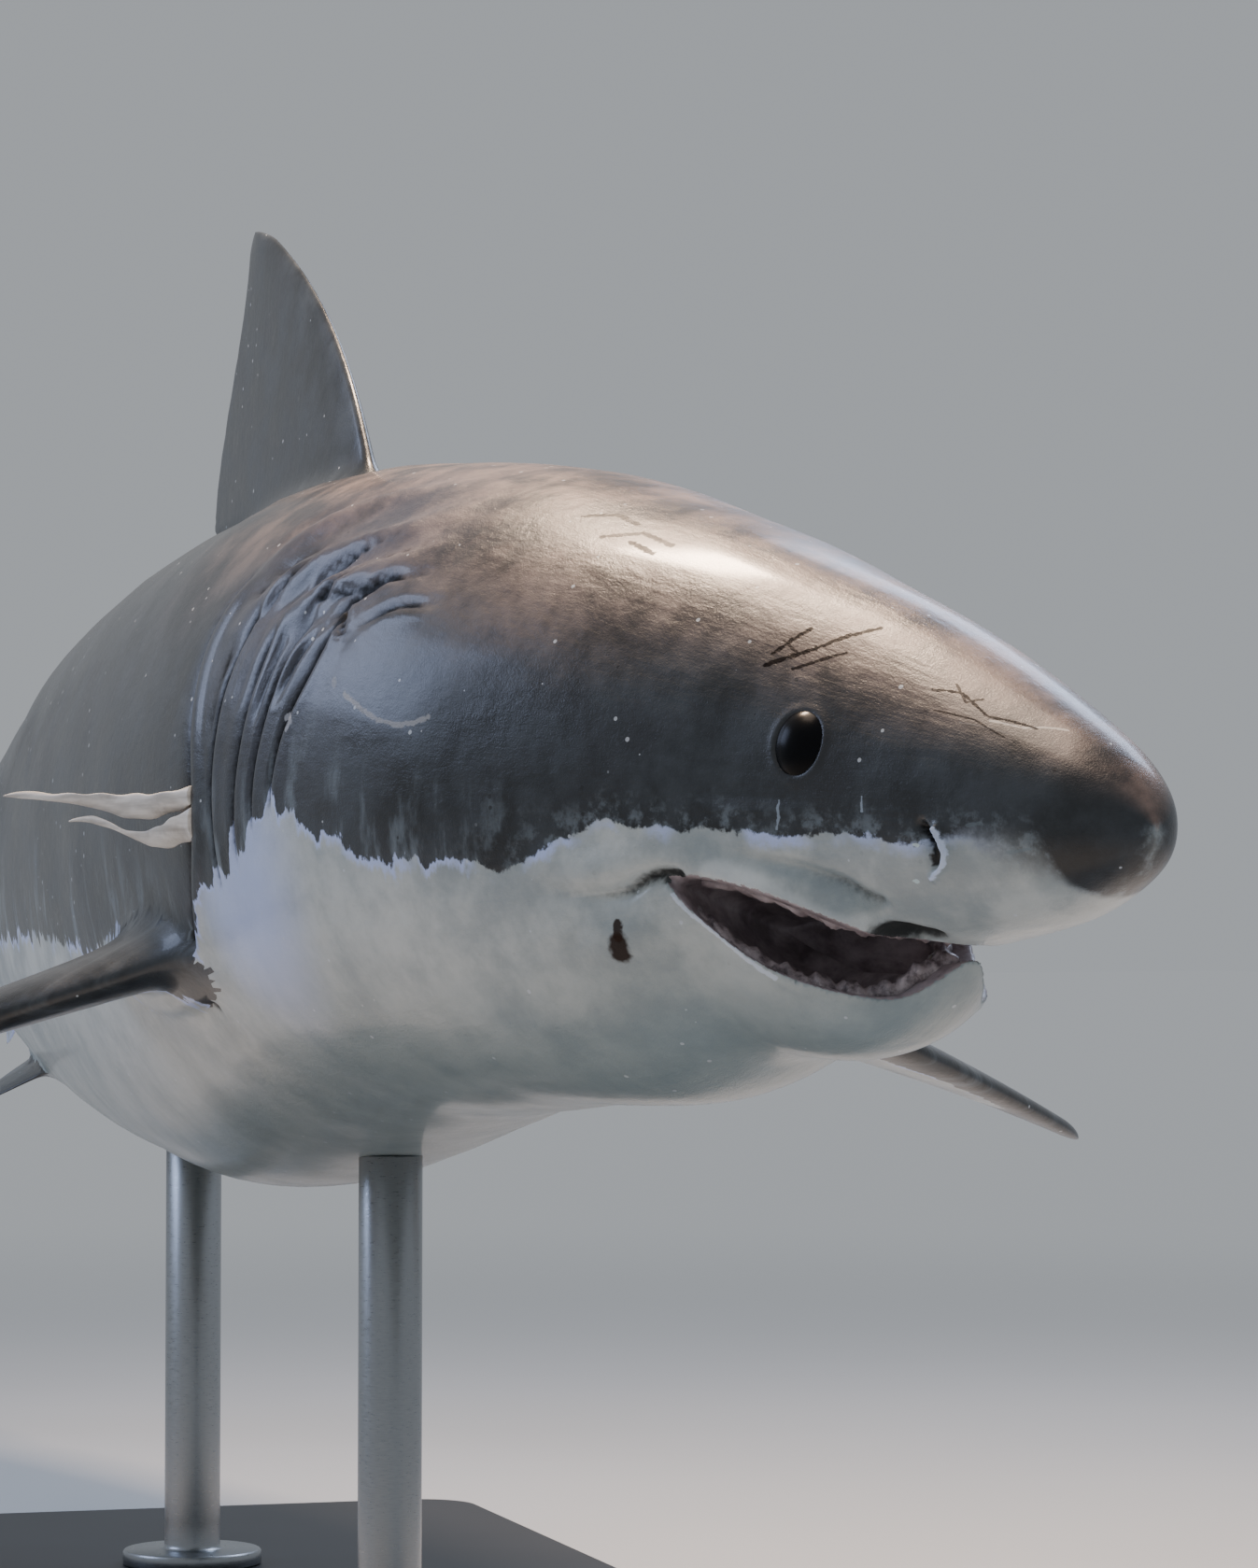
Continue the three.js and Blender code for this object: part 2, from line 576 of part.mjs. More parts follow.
function roundedPlate() {
  const [x, y, r] = [PLATE.long / 2 - PLATE.bevel, PLATE.wide / 2 - PLATE.bevel, PLATE.corner];
  const outline = new THREE.Shape();
  outline.moveTo(-x + r, -y);
  outline.lineTo(x - r, -y);
  outline.absarc(x - r, -y + r, r, -Math.PI / 2, 0);
  outline.lineTo(x, y - r);
  outline.absarc(x - r, y - r, r, 0, Math.PI / 2);
  outline.lineTo(-x + r, y);
  outline.absarc(-x + r, y - r, r, Math.PI / 2, Math.PI);
  outline.lineTo(-x, -y + r);
  outline.absarc(-x + r, -y + r, r, Math.PI, 1.5 * Math.PI);
  const plate = new THREE.ExtrudeGeometry(outline, {
    depth: PLATE.thick - 2 * PLATE.bevel,
    bevelThickness: PLATE.bevel,
    bevelSize: PLATE.bevel,
    bevelSegments: 1,
    curveSegments: 4,
  });
  plate.translate(0, 0, PLATE.bevel);
  plate.rotateZ(-PLATE.turn);
  const middle = place(PLATE.at * LENGTH, 0, 0);
  plate.translate(middle.x, middle.y, -SNOUT_HEIGHT);
  return toManifold(plate);
}

// Upright rod with a round flange on the plate; its top end follows the belly.
function standRod(at) {
  const foot = PLATE.thick + GAP - SNOUT_HEIGHT;
  const belly = bodyPoint(at, Math.PI, 0);
  const tall = belly.z + 60 - foot;
  const rod = new THREE.CylinderGeometry(ROD.radius, ROD.radius, tall, 18);
  rod.rotateX(Math.PI / 2);
  rod.translate(belly.x, belly.y, foot + tall / 2);
  const flange = new THREE.CylinderGeometry(ROD.flange - 4, ROD.flange, ROD.flangeThick, 24);
  flange.rotateX(Math.PI / 2);
  flange.translate(belly.x, belly.y, foot + ROD.flangeThick / 2);
  return toManifold(rod).add(toManifold(flange)).subtract(BODY_CUTTER);
}

// ---------------------------------------------------------------- materials
const finish = (color, roughness, metalness = 0) => () =>
  new THREE.MeshStandardMaterial({ color, roughness, metalness });
const slateSkin = finish(0x4d545c, 0.45);
const darkFin = finish(0x3a4047, 0.5);
const paleSkin = finish(0xc9c6bd, 0.5);
const blackEye = finish(0x08090b, 0.08);
const blackSteel = finish(0x26282b, 0.5, 0.6);
const rodSteel = finish(0xa9acb0, 0.3, 0.9);

// ---------------------------------------------------------------- assembly
const shark = new THREE.Group();

function addPart(name, solid, makeMaterial) {
  const mesh = new THREE.Mesh(toGeometry(solid), makeMaterial());
  mesh.name = name;
  shark.add(mesh);
}

function addHead() {
  const skull = bodyLoft(trimEnds(STATIONS.head, false, true), COVER);
  const mouth = mouthCavity();
  const sockets = eyeball('left', GAP).add(eyeball('right', GAP));
  const upper = skull.subtract(mouth).subtract(jawBlock(GAP / 2)).subtract(sockets);
  const jaw = skull.intersect(jawBlock(-GAP / 2)).subtract(mouth);
  addPart('head', largest(upper.add(teeth(upperLip, 16, 10, false, 12).subtract(jawBlock(GAP)))), slateSkin);
  addPart('lower_jaw', largest(jaw.add(teeth(lowerLip, 16, 9, true, 12))), paleSkin);
  addPart('eye_left', eyeball('left', 0), blackEye);
  addPart('eye_right', eyeball('right', 0), blackEye);
}

// The biggest of the separate bodies in a solid, which drops slivers left by the cuts.
function largest(solid) {
  return solid.decompose().sort((a, b) => b.volume() - a.volume())[0];
}

function addTrunk() {
  let gills = bodyLoft(trimEnds(STATIONS.gills, true, true), COVER);
  for (let i = 0; i < GILL_TOPS.length; i += 1) {
    gills = gills.subtract(gillBlade(i, 1)).subtract(gillBlade(i, -1));
  }
  addPart('gill_region', largest(gills), slateSkin);
  addPart('trunk_front', bodyLoft(trimEnds(STATIONS.front, true, true), COVER), slateSkin);
  addPart('trunk_rear', bodyLoft(trimEnds(STATIONS.rear, true, true), COVER), slateSkin);
  addPart('tail_stock', bodyLoft(trimEnds(STATIONS.stock, true, false), COVER), slateSkin);
}

function addFins() {
  const ridge = (at) => bodyRadius(at, 0);
  const keelLine = (at) => bodyRadius(at, Math.PI);
  addPart('dorsal_first', largest(midlineFin('dorsal_first', DORSAL_FIRST_AT, 1,
    ridge(DORSAL_FIRST_AT), 12)), darkFin);
  addPart('dorsal_second', largest(midlineFin('dorsal_second', DORSAL_SECOND_AT, 1,
    ridge(DORSAL_SECOND_AT + 0.01), 7)), darkFin);
  addPart('anal_fin', largest(midlineFin('anal_fin', ANAL_AT, -1, keelLine(ANAL_AT + 0.01), 7)), paleSkin);
  for (const [name, side] of [['left', 1], ['right', -1]]) {
    const pectoral = pairedFin('pectoral', PECTORAL, side, PECTORAL_SET[name], 12);
    const pelvic = pairedFin('pelvic', PELVIC, side, PELVIC_SET, 8);
    addPart(`pectoral_${name}`, largest(pectoral), darkFin);
    addPart(`pelvic_${name}`, largest(pelvic), paleSkin);
  }
  addPart('caudal_upper', largest(tailLobe('caudal_upper', 1)), darkFin);
  addPart('caudal_lower', largest(tailLobe('caudal_lower', -1)), darkFin);
}

function addStrips() {
  for (const [name, strip] of Object.entries(STRIPS)) addPart(name, skinStrip(strip), paleSkin);
}

function addStand() {
  addPart('stand_base', roundedPlate(), blackSteel);
  for (const [name, at] of Object.entries(ROD_STATIONS)) addPart(name, largest(standRod(at)), rodSteel);
}

addHead();
addTrunk();
addFins();
addStrips();
addStand();

// Origin: the middle of the floor under the whole model.
const box = new THREE.Box3().setFromObject(shark);
const middle = box.getCenter(new THREE.Vector3());
shark.position.set(-middle.x, -middle.y, -box.min.z);

export default shark;
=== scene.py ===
"""Great white shark, a still life-size model on a display stand.

The skin is one closed mesh: a loft of egg-shaped sections along a bent spine, with folded gill
flaps, nostrils, lip pads and eye rims worked into it, fins joined on and the mouth cut in.
Lengths are in millimetres along the shark until to_frame turns them into metres in the frame.
Stations are fractions of the shark's length from the snout, and angles run from the top of the
back (0) down either side to the belly (180).
"""

from functools import partial
from types import SimpleNamespace

import bmesh
import bpy
import numpy as np
from mathutils import Matrix, Vector


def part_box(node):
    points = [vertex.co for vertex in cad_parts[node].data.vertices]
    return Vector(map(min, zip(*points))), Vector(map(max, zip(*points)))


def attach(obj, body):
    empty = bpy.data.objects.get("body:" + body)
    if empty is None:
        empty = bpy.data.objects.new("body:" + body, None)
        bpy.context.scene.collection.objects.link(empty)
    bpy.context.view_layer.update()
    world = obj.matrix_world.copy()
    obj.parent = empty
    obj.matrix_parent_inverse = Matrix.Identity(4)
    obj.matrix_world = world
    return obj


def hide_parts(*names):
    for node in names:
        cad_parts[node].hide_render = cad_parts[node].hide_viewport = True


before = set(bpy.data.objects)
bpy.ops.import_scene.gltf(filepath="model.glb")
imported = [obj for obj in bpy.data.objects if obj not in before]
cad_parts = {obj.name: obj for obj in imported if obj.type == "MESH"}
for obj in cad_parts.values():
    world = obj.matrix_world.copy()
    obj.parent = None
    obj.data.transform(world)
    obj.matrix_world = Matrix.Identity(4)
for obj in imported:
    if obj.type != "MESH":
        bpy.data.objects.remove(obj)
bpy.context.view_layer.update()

# ------------------------------------------------------------------ sizes of the animal
LENGTH = 3800.0
SNOUT_HEIGHT = 790.0

# station, height above the spine, depth below it, half-width; these and the jaw's and mouth's
# sizes are fractions of LENGTH
SECTIONS = np.array([
    (0.0, 0.0, 0.0, 0.0),
    (0.003, 0.0084, 0.0078, 0.0081),
    (0.01, 0.0147, 0.0129, 0.0137),
    (0.025, 0.023, 0.0199, 0.0205),
    (0.045, 0.0323, 0.0248, 0.0262),
    (0.066, 0.0406, 0.0291, 0.0312),
    (0.085, 0.0471, 0.039, 0.0361),
    (0.105, 0.0531, 0.0527, 0.0434),
    (0.14, 0.0624, 0.0656, 0.0552),
    (0.19, 0.0727, 0.0697, 0.0667),
    (0.25, 0.079, 0.076, 0.0709),
    (0.32, 0.0845, 0.086, 0.0714),
    (0.4, 0.0862, 0.093, 0.0685),
    (0.5, 0.0806, 0.083, 0.0603),
    (0.6, 0.0644, 0.066, 0.0466),
    (0.7, 0.0432, 0.0436, 0.0308),
    (0.78, 0.0242, 0.0242, 0.0191),
    (0.835, 0.0152, 0.0158, 0.0151),
    (0.87, 0.0125, 0.0125, 0.004),
])
ROUND_ABOVE, ROUND_BELOW = 2.05, 2.15
KEEL_WIDTH = 0.012

# keels on the tail stock: where they start, the run over which they rise, and their spread as the
# cosine of the angle
KEEL_AT, KEEL_RUN, KEEL_SPREAD = 0.745, 0.08, 0.2

HEAD_PITCH, TRUNK_PITCH, BANK = np.radians([-3.5, 3.2, 1.4])
# how the spine's heading and pitch change: by how much, from which station, over what run
BENDS = ((np.radians(-18.5), 0.08, 0.24), (np.radians(1.7), 0.26, 0.34),
         (np.radians(12.0), 0.62, 0.25))
TILTS = ((TRUNK_PITCH - HEAD_PITCH, 0.08, 0.3), (-0.7 * TRUNK_PITCH, 0.45, 0.3))

# Lower jaw: its place and size, the runs over which it reaches its full width and depth, and the
# power of that deepening, which at 0.5 would round the chin off as a quarter ellipse.
JAW_FRONT, JAW_END, JAW_DEPTH, JAW_DROP, JAW_HALF = 0.0495, 0.14, 0.0242, 0.028, 0.0376
JAW_WIDENING, CHIN_RUN, CHIN_SLOPE = 0.05, 0.042, 0.62
# how widely jaw and snout blend, and the runs where that starts and fades
JAW_BLEND, BLEND_RUN, BLEND_END, BLEND_FADE = 0.004, 0.01, 0.11, 0.03

# Mouth: half its width, the corners and the lips' fronts as places along and up, and the throat,
# where palate and floor meet.
MOUTH_HALF = 0.0405
CORNER_ALONG, CORNER_UP = 0.102, -0.0155
UPPER_FRONT, LOWER_FRONT = (0.0515, -0.025), (0.0545, -0.0372)
THROAT = np.array([0.112, 0.0, -0.0265])
# how far palate and floor bow apart, and how far ahead of the lips the hollow starts, as a share
# of the way in
MOUTH_ARCH, MOUTH_OUT = 0.006, -0.16
# how far the lower lip climbs at its front, how far both lips run on there and the upper one
# drops, and the shares of each half-width that the climb and the run take up
CHIN_RISE, LIP_REACH, LIP_SINK, RISE_FRONT, LIP_FRONT = 0.009, 0.003, 0.0007, 0.3, 0.35

# metres of pattern for each radian round the body
GIRTH = 0.2

# Eyes: place, and half-axes and sunken depth in millimetres
EYE_AT, EYE_ANGLE = 0.072, np.radians(67.8)
EYE_WIDE, EYE_TALL, EYE_THICK, EYE_SUNK = 24.5, 28.5, 18.0, 9.0
EYE_BOWL, EYE_RIM = 11.0, 1.1


# ------------------------------------------------------------------ curves
def smooth(t):
    """Rises from 0 to 1 as t does, level at both ends: 3t squared less 2t cubed."""
    t = np.clip(t, 0, 1)
    return t * t * (3 - 2 * t)


def hump(x, width):
    """Bell curve: e to the minus square of x over width."""
    return np.exp(-((x / width) ** 2))


def monotone(xs, ys):
    """Cubic through the knots that never overshoots: each inner slope is the weighted harmonic
    mean of the rises on its two sides, and an end slope continues the nearest three knots."""
    xs, ys = np.asarray(xs, float), np.asarray(ys, float)
    step = np.diff(xs)
    rise = np.diff(ys) / step
    slope = np.zeros(len(xs))
    before, after = 2 * step[1:] + step[:-1], step[1:] + 2 * step[:-1]
    same = rise[:-1] * rise[1:] > 0
    safe = [np.where(same, r, 1.0) for r in (rise[:-1], rise[1:])]
    slope[1:-1] = np.where(same, (before + after) / (before / safe[0] + after / safe[1]), 0)
    for end, (h0, h1, r0, r1) in {0: (step[0], step[1], rise[0], rise[1]),
                                  -1: (step[-1], step[-2], rise[-1], rise[-2])}.items():
        value = ((2 * h0 + h1) * r0 - h0 * r1) / (h0 + h1)
        if value * r0 <= 0:
            value = 0
        elif r0 * r1 <= 0 and abs(value) > 3 * abs(r0):
            value = 3 * r0
        slope[end] = value

    def curve(x):
        x = np.clip(x, xs[0], xs[-1])
        i = np.clip(np.searchsorted(xs, x, side="right") - 1, 0, len(step) - 1)
        t = (x - xs[i]) / step[i]
        back = (1 + 2 * t) * (1 - t) ** 2 * ys[i] + t * (1 - t) ** 2 * step[i] * slope[i]
        return back + t * t * (3 - 2 * t) * ys[i + 1] + t * t * (t - 1) * step[i] * slope[i + 1]

    return curve


ROOTS = np.sqrt(SECTIONS[:, 0])
top_of, below_of, half_of = (monotone(ROOTS, SECTIONS[:, k]) for k in (1, 2, 3))


# ------------------------------------------------------------------ the body's plain form
def superellipse(sine, cosine, half, high, power):
    """Radius of a rounded section: (sine / half)^power + (cosine / high)^power, to the -1/power."""
    return ((sine / half) ** power + (cosine / high) ** power) ** (-1 / power)


def jaw_radius(at, sine, cosine):
    """Section of the lower jaw, a half-egg that swells back from its front: in width as a
    quarter circle, in depth a little slower, so that the chin slopes back."""
    deepening = np.clip((at - JAW_FRONT) / CHIN_RUN, 0, 1)
    widening = np.clip((at - JAW_FRONT) / JAW_WIDENING, 0, 1)
    deep = JAW_DEPTH + JAW_DROP * (1 - (1 - deepening) ** 2) ** CHIN_SLOPE
    half = JAW_HALF * np.sqrt(1 - (1 - widening) ** 2) + 1e-6
    inside = (cosine < 0) & (at >= JAW_FRONT) & (at <= JAW_END)
    return np.where(inside, superellipse(sine, np.abs(cosine) + 1e-9, half, deep, 2.2), 0)


def body_radius(at, angle):
    """Distance from the spine to the skin: the section's superellipse, joined to the jaw by a
    smooth maximum, plus a bell-shaped keel on each side of the tail stock."""
    root = np.sqrt(np.maximum(at, 0))
    sine, cosine = np.abs(np.sin(angle)), np.cos(angle)
    above = cosine >= 0
    high = np.where(above, top_of(root), below_of(root)) + 1e-9
    power = np.where(above, ROUND_ABOVE, ROUND_BELOW)
    trunk = superellipse(sine, np.abs(cosine), half_of(root) + 1e-9, high, power)
    jaw = jaw_radius(at, sine, cosine)
    blend = 1e-6 + JAW_BLEND * smooth((at - JAW_FRONT) / BLEND_RUN) * (
        1 - smooth((at - BLEND_END) / BLEND_FADE))
    near = np.maximum(blend - np.abs(trunk - jaw), 0) / blend
    joined = np.maximum(trunk, jaw) + near * near * blend / 4
    keel = KEEL_WIDTH * smooth((at - KEEL_AT) / KEEL_RUN) * hump(cosine, KEEL_SPREAD)
    return LENGTH * (joined + keel)


def make_spine(steps=600):
    """Sums short steps back from the snout; turn and pitch change by smooth rises along it."""
    at = np.linspace(0, 1, steps + 1)
    turn = sum(size * smooth((at - start) / run) for size, start, run in BENDS)
    pitch = HEAD_PITCH + sum(size * smooth((at - start) / run) for size, start, run in TILTS)
    stride = np.stack([np.cos(turn) * np.cos(pitch), np.sin(turn) * np.cos(pitch),
                       np.sin(pitch)], -1) * -LENGTH / steps
    points = np.vstack([np.zeros(3), np.cumsum(stride[:-1], 0)])
    return at * LENGTH, points, turn, pitch


SPINE_ALONG, SPINE_POINTS, SPINE_TURN, SPINE_PITCH = make_spine()


def place(along, left, up):
    """A point from its distance along the spine, to the left and up: the section plane there is
    turned and pitched with the spine, and banked."""
    along, left, up = np.broadcast_arrays(*(np.asarray(v, float) for v in (along, left, up)))
    turn = np.interp(along, SPINE_ALONG, SPINE_TURN)
    pitch = np.interp(along, SPINE_ALONG, SPINE_PITCH)
    x, y, z = (np.interp(along, SPINE_ALONG, SPINE_POINTS[:, k]) for k in range(3))
    side = left * np.cos(BANK) + up * np.sin(BANK)
    rise = up * np.cos(BANK) - left * np.sin(BANK)
    lean = rise * np.sin(pitch)
    return np.stack([
        x - side * np.sin(turn) - lean * np.cos(turn) - np.minimum(along, 0),
        y + side * np.cos(turn) - lean * np.sin(turn),
        z + rise * np.cos(pitch),
    ], -1)


def body_point(at, angle, out=0.0):
    """A point on the skin; angles grow toward the right side, and out lifts it off the skin."""
    radius = body_radius(at, angle) + out
    return place(at * LENGTH, -radius * np.sin(angle), radius * np.cos(angle))


def unit(vectors):
    """Each vector divided by its length."""
    return vectors / np.linalg.norm(vectors, axis=-1, keepdims=True)


def surface_frame(at, angle):
    """Point, outward normal, forward and upright directions at a place on the side."""
    point = body_point(at, angle)
    along = unit(body_point(at - 0.002, angle) - body_point(at + 0.002, angle))
    around = unit(body_point(at, angle + 0.02) - body_point(at, angle - 0.02))
    normal = unit(np.cross(around, along))
    if normal @ (point - place(at * LENGTH, 0, 0)) < 0:
        normal = -normal
    upright = unit(np.array([0, 0, 1]) - normal * normal[2])
    return point, normal, along, upright


# ------------------------------------------------------------------ from the shark to the frame
# The base plate's centre lies under this station, and the floor is SNOUT_HEIGHT under the snout.
PLATE_AT = 0.415
plate_low, plate_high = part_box("stand_base")
plate_middle = place(PLATE_AT * LENGTH, 0, 0) / 1000
SHIFT = np.array([
    (plate_low.x + plate_high.x) / 2 - plate_middle[0],
    (plate_low.y + plate_high.y) / 2 - plate_middle[1],
    SNOUT_HEIGHT / 1000,
])


def to_frame(points):
    """Millimetres from the snout to metres in the frame."""
    return np.asarray(points) / 1000 + SHIFT


# ------------------------------------------------------------------ meshes
def add_piece(name, points, quads, tris=(), shade_smooth=True):
    """A mesh object from frame points and two whole-number arrays of faces."""
    mesh = bpy.data.meshes.new(name)
    quads, tris = (np.asarray(f, np.int32).reshape(-1, n) for f, n in ((quads, 4), (tris, 3)))
    corners = np.concatenate([quads.ravel(), tris.ravel()])
    mesh.vertices.add(len(points))
    mesh.vertices.foreach_set("co", np.asarray(points, np.float32).ravel())
    mesh.loops.add(len(corners))
    mesh.loops.foreach_set("vertex_index", corners)
    starts = np.concatenate([np.arange(len(quads)) * 4,
                             len(quads) * 4 + np.arange(len(tris)) * 3]).astype(np.int32)
    mesh.polygons.add(len(starts))
    mesh.polygons.foreach_set("loop_start", starts)
    mesh.update(calc_edges=True)
    mesh.validate()
    mesh.shade_smooth() if shade_smooth else mesh.shade_flat()
    piece = bpy.data.objects.new(name, mesh)
    bpy.context.scene.collection.objects.link(piece)
    return piece


def tube_faces(rows, around, start=0):
    """Quads between neighbouring rings of a grid that closes round on itself."""
    i, j = np.meshgrid(np.arange(rows - 1), np.arange(around), indexing="ij")
    a, b = i * around + j, i * around + (j + 1) % around
    return (np.stack([a, b, b + around, a + around], -1) + start).reshape(-1, 4)


def cap_faces(ring_start, around, pole, facing):
    """Triangles from a ring to one pole point."""
    j = np.arange(around)
    a, b = ring_start + j, ring_start + (j + 1) % around
    pole = np.full(around, pole)
    return np.stack([b, a, pole] if facing else [a, b, pole], -1)


def closed_tube(name, rings, first, last, shade_smooth=True):
    """A closed skin over rings (rows, around, 3), with a pole point at each end."""
    rows, around = rings.shape[:2]
    points = np.vstack([rings.reshape(-1, 3), first, last])
    count = rows * around
    quads = tube_faces(rows, around)
    tris = np.vstack([cap_faces(0, around, count, True),
                      cap_faces(count - around, around, count + 1, False)])
    piece = add_piece(name, points, quads, tris, shade_smooth)
    face_outward(piece)
    return piece


def signed_volume(mesh):
    """Six times the volume inside a closed mesh, negative if its faces point in."""
    mesh.calc_loop_triangles()
    corners = np.zeros(len(mesh.loop_triangles) * 3, np.int32)
    mesh.loop_triangles.foreach_get("vertices", corners)
    points = np.zeros(len(mesh.vertices) * 3)
    mesh.vertices.foreach_get("co", points)
    a, b, c = np.moveaxis(points.reshape(-1, 3)[corners.reshape(-1, 3)], 1, 0)
    return np.sum(np.cross(a, b) * c)


def face_outward(piece):
    """Turns every face over if the closed mesh is inside out."""
    if signed_volume(piece.data) < 0:
        piece.data.flip_normals()


# ------------------------------------------------------------------ lines drawn on the side
def path_distance(at, angle, knots):
    """Distance in millimetres from places on the side to a line through (station, degrees)
    knots, and how far along the line the nearest point lies (0 to 1)."""
    scale = np.array([LENGTH, np.radians(1)])
    girth = body_radius(at, angle)
    best = np.full(at.shape, 1e9)
    along = np.zeros(at.shape)
    knots = np.asarray(knots, float)
    for k in range(len(knots) - 1):
        start, end = knots[k] * scale, knots[k + 1] * scale
        du, dv = at * LENGTH - start[0], (np.abs(angle) - start[1]) * girth
        eu, ev = end[0] - start[0], (end[1] - start[1]) * girth
        t = np.clip((du * eu + dv * ev) / (eu * eu + ev * ev + 1e-9), 0, 1)
        far = np.hypot(du - t * eu, dv - t * ev)
        closer = far < best
        best = np.where(closer, far, best)
        along = np.where(closer, (k + t) / (len(knots) - 1), along)
    return best, along


# Lines of the head as (station, degrees from the top) knots: the nostril and the flap before it,
# the upper lip's pad with the crease above it and the hollow ahead of it, the furrow behind the
# mouth's corner with the swells over and under it, and the lower lip.
NOSTRIL_SLIT = [(0.0405, 95.0), (0.0386, 99.5), (0.0377, 105.0), (0.0383, 113.0)]
NOSTRIL_FLAP = [(0.0368, 95.5), (0.0355, 101.0), (0.0348, 107.5), (0.036, 113.0), (0.0395, 119.0)]
LIP_PAD = [(0.1, 108.0), (0.0885, 111.0), (0.08, 115.5), (0.0725, 123.0), (0.066, 131.0),
           (0.0615, 134.0)]
LIP_PAD_TOP = [(0.092, 104.0), (0.082, 107.5), (0.071, 112.0), (0.062, 119.0), (0.0555, 129.0)]
LIP_HOLLOW = [(0.0585, 144.0), (0.054, 148.5), (0.0505, 154.5)]
FURROW = [(0.0985, 111.5), (0.1025, 111.0), (0.106, 112.0), (0.1095, 114.5), (0.114, 115.3),
          (0.12, 114.6), (0.127, 112.8), (0.134, 110.5)]
CHEEK = [(0.098, 105.5), (0.108, 107.5), (0.118, 108.5), (0.128, 107.0)]
JAW_SWELL = [(0.1, 124.0), (0.106, 125.5), (0.116, 126.0), (0.126, 122.0)]
LOWER_LIP = [(0.0995, 116.0), (0.097, 120.0), (0.0925, 126.5), (0.087, 134.0), (0.08, 142.0),
             (0.0725, 150.5), (0.066, 158.0), (0.061, 164.5), (0.056, 170.0), (0.0525, 180.0)]
# soft rolls of flesh that run forward and up over the gills
ROLLS = [
    [(0.245, 60.0), (0.2385, 55.0), (0.229, 48.5), (0.2165, 43.0), (0.2005, 38.0), (0.188, 29.0)],
    [(0.228, 66.0), (0.2205, 58.5), (0.211, 52.0), (0.1975, 47.5), (0.182, 42.0)],
    [(0.252, 50.0), (0.2465, 42.0), (0.236, 34.0), (0.222, 27.0), (0.205, 22.0)],
]
# creases over the upper ends of the gill slits
CREASES = [
    [(0.1867, 47.5), (0.194, 51.0), (0.2055, 53.5), (0.214, 54.0)],
    [(0.1912, 51.5), (0.198, 55.5), (0.1955, 61.5), (0.1905, 63.5)],
    [(0.178, 47.0), (0.19, 49.5), (0.2, 55.0), (0.2035, 61.0)],
    [(0.186, 40.5), (0.197, 44.5), (0.207, 50.5), (0.2125, 57.0)],
    [(0.199, 38.5), (0.209, 43.0), (0.2185, 50.0), (0.2235, 58.0)],
    [(0.212, 38.0), (0.2225, 43.5), (0.2305, 50.5), (0.2345, 58.0)],
    [(0.228, 39.5), (0.2375, 45.5), (0.2435, 52.0), (0.246, 59.0)],
    [(0.205, 60.0), (0.209, 66.0), (0.2125, 74.0)],
    [(0.2285, 60.0), (0.2295, 68.0), (0.231, 76.0)],
    [(0.2445, 62.0), (0.2435, 71.0), (0.2435, 81.0)],
    [(0.17, 53.0), (0.182, 55.0), (0.191, 60.0)],
    [(0.2185, 62.0), (0.219, 70.0), (0.2205, 78.0)],
]


def head_relief(at, angle):
    """Height in millimetres and painted shade of what is worked into the snout, lips and cheek."""
    far, t = path_distance(at, angle, NOSTRIL_SLIT)
    rise = -(12.0 - 6.0 * t) * hump(far, 3.6)
    far, t = path_distance(at, angle, NOSTRIL_FLAP)
    rise += (7.0 - 3.5 * t) * hump(far, 2.8)
    # the upper lip swells into a pad toward its front, with a crease above and a hollow ahead
    far, t = path_distance(at, angle, LIP_PAD)
    rise += (2.0 + 11.0 * smooth(t)) * hump(far / (9.0 + 6.0 * t), 1.0)
    far, t = path_distance(at, angle, LIP_PAD_TOP)
    rise -= 7.0 * smooth(t * 2) * hump(far, 7.0)
    # painted shade in the crease above the pad
    dark = 0.55 * smooth(t * 1.6 - 0.4) * hump(far, 6.0)
    far, _ = path_distance(at, angle, LIP_HOLLOW)
    rise -= 10.0 * hump(far, 8.0)
    # painted shade in the hollow ahead of the pad
    dark += 1.1 * hump(far, 11.0)
    # the furrow that runs back from the mouth's corner shallows to its end, between soft swells
    far, t = path_distance(at, angle, FURROW)
    rise -= 13.0 * (1 - smooth(t)) ** 0.7 * hump(far, 5.5)
    # painted shade along the furrow
    dark += 0.95 * (1 - smooth(t)) ** 0.8 * hump(far, 6.5 - 2.5 * t)
    far, t = path_distance(at, angle, CHEEK)
    rise += 8.0 * np.sin(np.pi * np.clip(t, 0.1, 0.9)) * hump(far, 15.0)
    far, t = path_distance(at, angle, JAW_SWELL)
    rise += 7.0 * np.sin(np.pi * np.clip(t, 0.15, 0.9)) * hump(far, 22.0)
    far, _ = path_distance(at, angle, LOWER_LIP)
    rise += 1.8 * hump(far, 4.5) * smooth((at - 0.06) / 0.01)
    return rise, dark


def gill_relief(at, angle):
    """Height in millimetres and painted shade of the soft rolls and creases over the gill slits;
    each fades toward its ends by a half sine, and a crease has a low ridge on each side."""
    rise, dark = np.zeros(at.shape), np.zeros(at.shape)
    for knots in ROLLS:
        far, t = path_distance(at, angle, knots)
        rise += 6.5 * np.sin(np.pi * np.clip(t, 0.05, 0.95)) * (
            hump(far, 15.0) - 0.5 * hump(far - 26.0, 13.0))
    for knots in CREASES:
        far, t = path_distance(at, angle, knots)
        fade = np.sin(np.pi * np.clip(t, 0.08, 0.95)) ** 0.6
        rise += fade * (1.6 * hump(far - 8.0, 4.5) - 4.2 * hump(far, 3.8))
        # painted shade along each crease
        dark += 0.95 * fade * hump(far, 3.4)
    return rise, dark


# each kind of relief, with the stations and degrees that it keeps within; 181 takes in the belly
RELIEF_AREAS = ((head_relief, 0.02, 0.15, 80, 181), (gill_relief, 0.15, 0.275, 10, 95))


